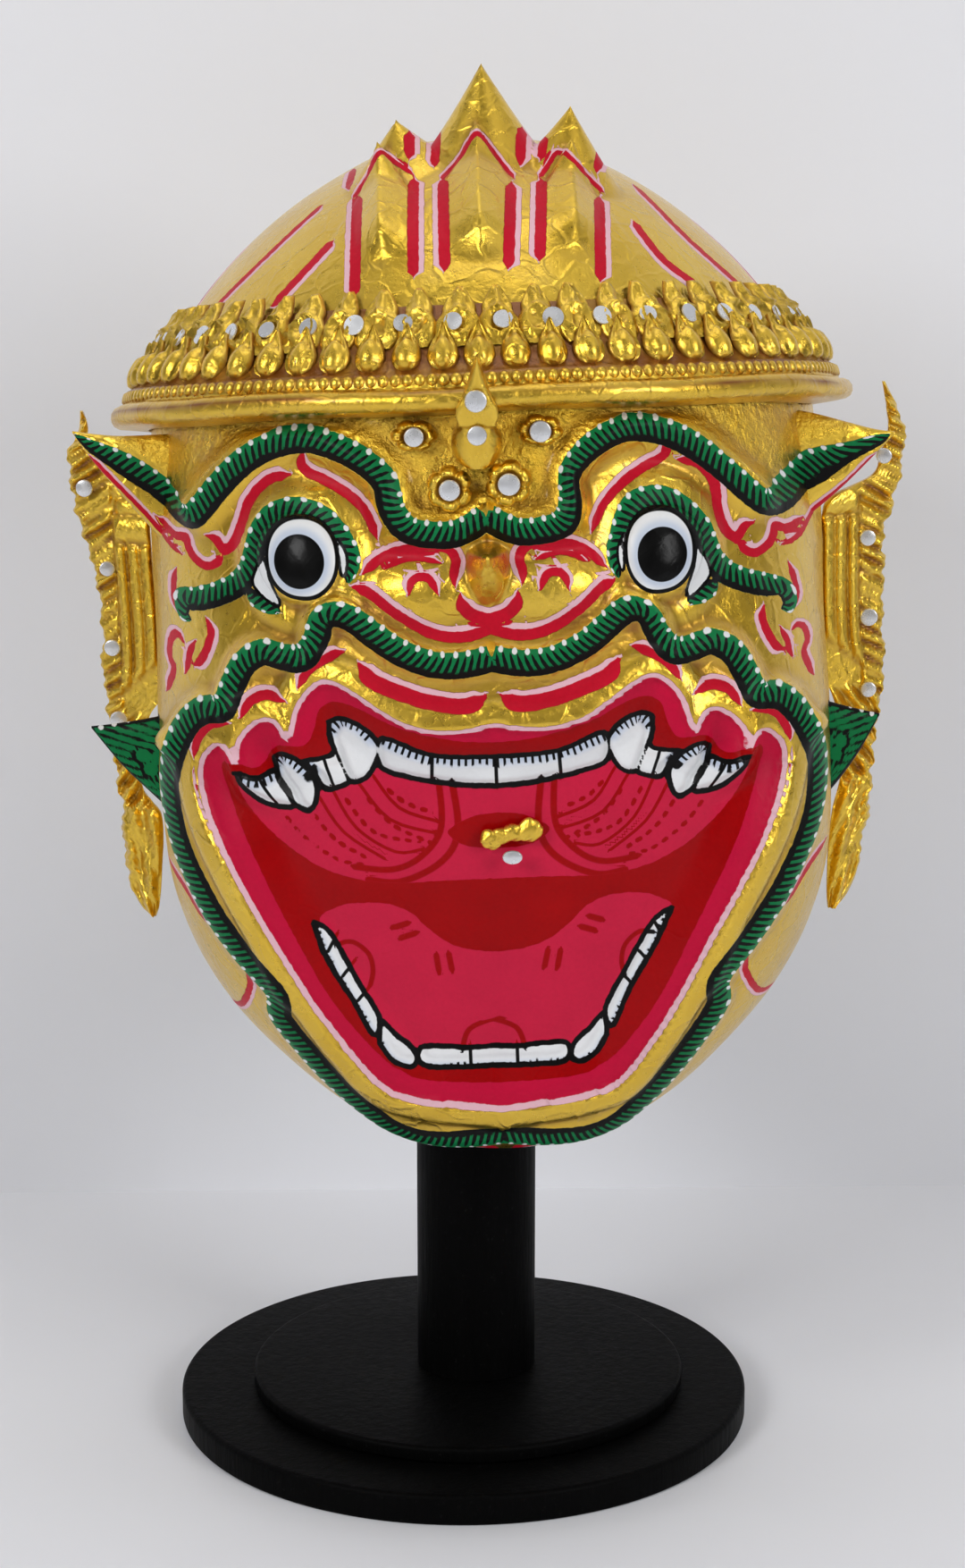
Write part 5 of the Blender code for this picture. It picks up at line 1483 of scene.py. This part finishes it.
def build_flap(name, side, finish):
    """Ear flap: a modelled sheet with a leafy edge, from its curled tip to its hanging tongue."""
    across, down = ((54, 260))
    bm = bmesh.new()
    bmesh.ops.create_grid(bm, x_segments=across, y_segments=down, size=1)
    flat = np.array([v.co[:] for v in bm.verts])
    share, fall = (flat[:, 0] + 1) / 2, (1 - flat[:, 1]) / 2
    rows = [(z, inner or side_width(z) + 0.5, outer) for z, inner, outer in FLAPS[name]]
    z, inner, outer = smooth_through(rows, fall * (len(rows) - 1)).T
    number = 0.0 if side < 0 else 1.7
    uneven = 0.5 * np.sin(z * 0.71 + 2.1 * np.sin(z * 0.11 + number)) + 0.35 * np.abs(np.sin(z * 0.37 + 2 * number))
    uneven += 0.3 * np.sin(z * 1.9 + 1.4 * np.sin(z * 0.23))
    outer = outer + uneven * ease((318 - z) / 8) * ease((z - 172) / 8)
    x = inner + (outer - inner) * share
    face = FLAP_DEPTH + FLAP_SWEEP * (x - 98)
    crumple = 0.22 * lumps_of(np.stack([x, face, z], -1), 1.0) + 0.12 * lumps_of(np.stack([x, face, z], -1), 2.3)
    edge = np.clip(np.minimum(share * (outer - inner), (1 - share) * (outer - inner)) / 0.9, 0.0, 1)
    relief = flap_relief(x, z, inner, outer, number) + crumple
    front = face - relief * edge**0.6
    bm.verts.ensure_lookup_table()
    for vertex, px, py, pz in zip(bm.verts, side * x, front, z):
        vertex.co = (px, py, pz)
    grown = bmesh.ops.extrude_face_region(bm, geom=bm.faces[:])["geom"]
    for vertex in (g for g in grown if isinstance(g, bmesh.types.BMVert)):
        vertex.co.y = FLAP_DEPTH + FLAP_SWEEP * (abs(vertex.co.x) - 98) + FLAP_THICKNESS / 2
    bmesh.ops.recalc_face_normals(bm, faces=bm.faces[:])
    bm.transform(Matrix.Scale(MM, 4))
    finish_piece(f"ear_flap_{name}", mesh_from(bm, f"flap_{name}"), [finish],
                 [f"ear_ornament_{name}"], lacquer_and_shade=0.3)


# Stand
def build_stand(finish):
    for name, edge in (("stand_base", 1.6), ("stand_step", 1.4)):
        middle, size = node_face(name)
        radius, height = size.x / 2, size.z
        round_edge = [(radius - edge + edge * sin(t), height - edge + edge * cos(t))
                      for t in np.linspace(0, pi / 2, 6)]
        low_edge = [(radius - 1 + sin(t), 1 - cos(t)) for t in np.linspace(pi / 2, 0, 4)]
        bm = turned([(0, height), (radius * 0.5, height)] + round_edge + low_edge + [(radius * 0.5, 0), (0, 0)], 160)
        bm.transform(Matrix.Translation((middle.x, middle.y, middle.z - size.z / 2)))
        bm.transform(Matrix.Scale(MM, 4))
        finish_piece(name + "_wood", mesh_from(bm, name), [finish], [name], seat=False, sharp=50)
    middle, size = node_face("stand_post")
    radius, height = size.x / 2, size.z
    dome = [(radius * sin(t), height - 9 * (1 - cos(t))) for t in np.linspace(0, pi / 2, 10)]
    bm = turned(dome + [(radius, height * share) for share in (0.8, 0.6, 0.4, 0.2)] + [(radius, 0), (0, 0)], 96)
    bm.transform(Matrix.Translation((middle.x, middle.y, middle.z - size.z / 2)))
    bm.transform(Matrix.Scale(MM, 4))
    finish_piece("stand_post_wood", mesh_from(bm, "post"), [finish], ["stand_post"], seat=False,
                 sharp=50)


# Studio
def plain_material(name, colour, roughness):
    made, wiring, shader = new_material(name)
    shade = wiring.noise(wiring.object_place(), 3, 2)
    wiring.put(wiring.mix(shade, (*[c * 0.97 for c in colour], 1), (*colour, 1)), shader.inputs["Base Color"])
    shader.inputs["Roughness"].default_value = roughness
    return made


def area_light(name, place, aim, size, power, colour=(1, 1, 1)):
    data = bpy.data.lights.new(name, "AREA")
    data.shape = "RECTANGLE"
    data.size, data.size_y = size
    data.energy = power
    data.color = colour
    made = bpy.data.objects.new(name, data)
    made.location = place
    made.rotation_euler = (Vector(aim) - Vector(place)).to_track_quat("-Z", "Y").to_euler()
    bpy.context.scene.collection.objects.link(made)
    return made


def build_stage(studio):
    floor_bm = bmesh.new()
    bmesh.ops.create_grid(floor_bm, x_segments=1, y_segments=1, size=4)
    floor = bpy.data.objects.new("floor", mesh_from(floor_bm, "floor"))
    floor.data.materials.append(plain_material("floor_paint", studio.floor_colour, 0.5))
    wall_bm = bmesh.new()
    bmesh.ops.create_grid(wall_bm, x_segments=1, y_segments=1, size=4)
    wall_bm.transform(Matrix.Translation((0, studio.wall_distance, 0)) @ Matrix.Rotation(radians(1.2), 4, "Z")
                      @ Matrix.Rotation(pi / 2, 4, "X"))
    wall = bpy.data.objects.new("wall", mesh_from(wall_bm, "wall"))
    wall.data.materials.append(plain_material("wall_paint", studio.wall_colour, 0.7))
    for made in (floor, wall):
        bpy.context.scene.collection.objects.link(made)
    area_light("key", (-0.95, -1.15, 0.95), (0, 0, 0.24), (0.5, 0.6), studio.key)
    area_light("fill", (1.1, -1.15, 0.8), (0, 0, 0.2), (0.5, 0.7), studio.fill)
    area_light("top", (0.0, -0.1, 1.9), (0, 0, 0.2), (1.0, 0.7), studio.top)
    world = bpy.data.worlds.new("studio")
    world.use_nodes = True
    wiring = Wiring(world.node_tree)
    back = world.node_tree.nodes["Background"]
    way = wiring.node("ShaderNodeSeparateXYZ")
    seen = wiring.node("ShaderNodeTexCoord").outputs["Generated"]
    wiring.put(seen, way.inputs[0])
    up = wiring.node("ShaderNodeMapRange")
    wiring.put(way.outputs["Z"], up.inputs["Value"])
    up.inputs["From Min"].default_value = -0.3
    up.inputs["From Max"].default_value = 0.8
    patches = wiring.math("MULTIPLY", wiring.noise(seen, 2.2, 1), 1.0)
    shade = wiring.math("MULTIPLY", up.outputs["Result"], wiring.below(patches, 0.47, 0.08))
    wiring.put(wiring.mix(shade, (0.09, 0.085, 0.08, 1), (1.0, 1.0, 1.0, 1)), back.inputs["Color"])
    back.inputs["Strength"].default_value = studio.sky
    bpy.context.scene.world = world
    bpy.context.scene.view_settings.view_transform = "Standard"
    camera = bpy.data.objects.new("camera", bpy.data.cameras.new("camera"))
    camera.data.lens = studio.lens
    camera.data.sensor_width = 36
    camera.location = studio.camera_place
    camera.rotation_euler = (pi / 2 - studio.camera_pitch, 0, 0)
    camera.data.dof.use_dof = False
    camera.data.clip_start = 0.05
    bpy.context.scene.collection.objects.link(camera)
    bpy.context.scene.camera = camera


# Settings, operators and panel
def colour_property(name, words, value):
    return FloatVectorProperty(name=name, description=words, subtype="COLOR", size=3, min=0, max=1, default=value)


def length_property(name, words, value):
    return FloatProperty(name=name, description=words, unit="LENGTH", subtype="DISTANCE", default=value, precision=5)


class MaskSizes(bpy.types.PropertyGroup):
    wall: length_property("Wall", "Thickness of the pasted paper", 0.0045)
    columns: IntProperty(name="Columns", description="Vertices round the mask", default=196)
    rows: IntProperty(name="Rows", description="Vertices from the crown to the rim", default=142)


class MaskFinish(bpy.types.PropertyGroup):
    # Lacquer colour, also the painted shade in the gold's hollows, under parts and between them.
    lacquer: colour_property("Lacquer", "Stained lacquer in the hollows of the gold", (0.22, 0.07, 0.006))
    green: colour_property("Green", "Brow, moustache and jaw bands", (0.004, 0.165, 0.05))
    outline: colour_property("Outline", "Black lines", (0.004, 0.004, 0.004))
    stroke: colour_property("Stroke", "Red strokes", (0.48, 0.004, 0.02))
    lilac: colour_property("Lilac", "Pale line beside the strokes", (0.72, 0.44, 0.50))
    lip: colour_property("Lip", "Pink of the lips", (0.47, 0.004, 0.036))
    throat: colour_property("Throat", "Dark red of the throat", (0.30, 0.0006, 0.0015))
    palate: colour_property("Palate", "Pink of palate and tongue", (0.51, 0.012, 0.046))
    enamel: colour_property("Enamel", "White of teeth, eyes and dots", (0.72, 0.73, 0.74))
    root: colour_property("Root", "Blue-grey shading of teeth and eyes", (0.10, 0.24, 0.5))
    stand: colour_property("Stand", "Black of the stand", (0.0014, 0.0014, 0.0014))
    tick_pitch: length_property("Tick pitch", "Distance between root ticks", 0.0019)
    lilac_width: length_property("Lilac width", "Greatest width of the pale line beside a stroke", 0.0015)
    hatch_pitch: length_property("Hatch pitch", "Distance between the bands' black strokes", 0.0021)
    dot_pitch: length_property("Dot pitch", "Distance between the bands' white dots", 0.0039)
    dot_radius: length_property("Dot radius", "Radius of the white dots", 0.0007)


class StudioSettings(bpy.types.PropertyGroup):
    floor_colour: colour_property("Floor", "Pale floor", (0.80, 0.81, 0.85))
    wall_colour: colour_property("Wall", "Pale wall", (0.80, 0.81, 0.85))
    wall_distance: length_property("Wall distance", "From the stand's middle to the wall", 0.2)
    key: FloatProperty(name="Key", description="Power of the key light in watts", default=11)
    fill: FloatProperty(name="Fill", description="Power of the fill light in watts", default=10.5)
    top: FloatProperty(name="Top", description="Power of the top light in watts", default=4.5)
    sky: FloatProperty(name="Sky", description="Strength of the even light", default=0.9)
    lens: FloatProperty(name="Lens", description="Focal length in mm on a 36 mm sensor", default=76.17)
    camera_place: FloatVectorProperty(name="Camera", description="Where the camera stands", subtype="XYZ",
                                      default=(0.006, -0.99, 0.43))
    camera_pitch: FloatProperty(name="Pitch", description="How far the camera looks down", subtype="ANGLE",
                                default=radians(12.91))


class BuildMask(bpy.types.Operator):
    """Builds the painted mask with its ears and cheek wings"""

    bl_idname = "gilded_mask.build_mask"
    bl_label = "Build mask"

    def execute(self, context):
        build_mask(context.scene.mask_sizes, context.scene.mask_finish)
        return {"FINISHED"}


class BuildOrnaments(bpy.types.Operator):
    """Builds the diadem, the forehead and mouth ornaments, the ear flaps and all mirrors"""

    bl_idname = "gilded_mask.build_ornaments"
    bl_label = "Build ornaments"

    def execute(self, context):
        gilt = gilt_material("gilt_modelled", context.scene.mask_finish)
        mirror = mirror_material(context.scene.mask_finish)
        build_diadem(gilt, mirror)
        build_rosettes(gilt)
        build_mouth_jewel(gilt)
        build_finial(gilt)
        build_mirrors(mirror)
        for name, side in (("left", -1), ("right", 1)):
            build_flap(name, side, gilt)
        return {"FINISHED"}


class BuildStand(bpy.types.Operator):
    """Builds the turned black stand"""

    bl_idname = "gilded_mask.build_stand"
    bl_label = "Build stand"

    def execute(self, context):
        build_stand(black_material(context.scene.mask_finish))
        return {"FINISHED"}


class BuildStage(bpy.types.Operator):
    """Sets floor, wall, lights and camera"""

    bl_idname = "gilded_mask.build_stage"
    bl_label = "Build stage"

    def execute(self, context):
        build_stage(context.scene.mask_studio)
        return {"FINISHED"}


class MaskPanel(bpy.types.Panel):
    bl_idname = "VIEW3D_PT_gilded_mask"
    bl_label = "Gilded mask"
    bl_space_type = "VIEW_3D"
    bl_region_type = "UI"
    bl_category = "Mask"

    def draw(self, context):
        for group in (context.scene.mask_sizes, context.scene.mask_finish, context.scene.mask_studio):
            for name in group.__annotations__:
                self.layout.prop(group, name)
        for operator in OPERATORS:
            self.layout.operator(operator.bl_idname)


OPERATORS = (BuildMask, BuildOrnaments, BuildStand, BuildStage)
CLASSES = (MaskSizes, MaskFinish, StudioSettings, *OPERATORS, MaskPanel)


def register():
    for made in CLASSES:
        bpy.utils.register_class(made)
    bpy.types.Scene.mask_sizes = PointerProperty(type=MaskSizes)
    bpy.types.Scene.mask_finish = PointerProperty(type=MaskFinish)
    bpy.types.Scene.mask_studio = PointerProperty(type=StudioSettings)


def unregister():
    del bpy.types.Scene.mask_studio
    del bpy.types.Scene.mask_finish
    del bpy.types.Scene.mask_sizes
    for made in reversed(CLASSES):
        bpy.utils.unregister_class(made)


def main():
    register()
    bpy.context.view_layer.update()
    bpy.ops.gilded_mask.build_mask()
    bpy.ops.gilded_mask.build_ornaments()
    bpy.ops.gilded_mask.build_stand()
    bpy.ops.gilded_mask.build_stage()


if __name__ == "__main__":
    main()
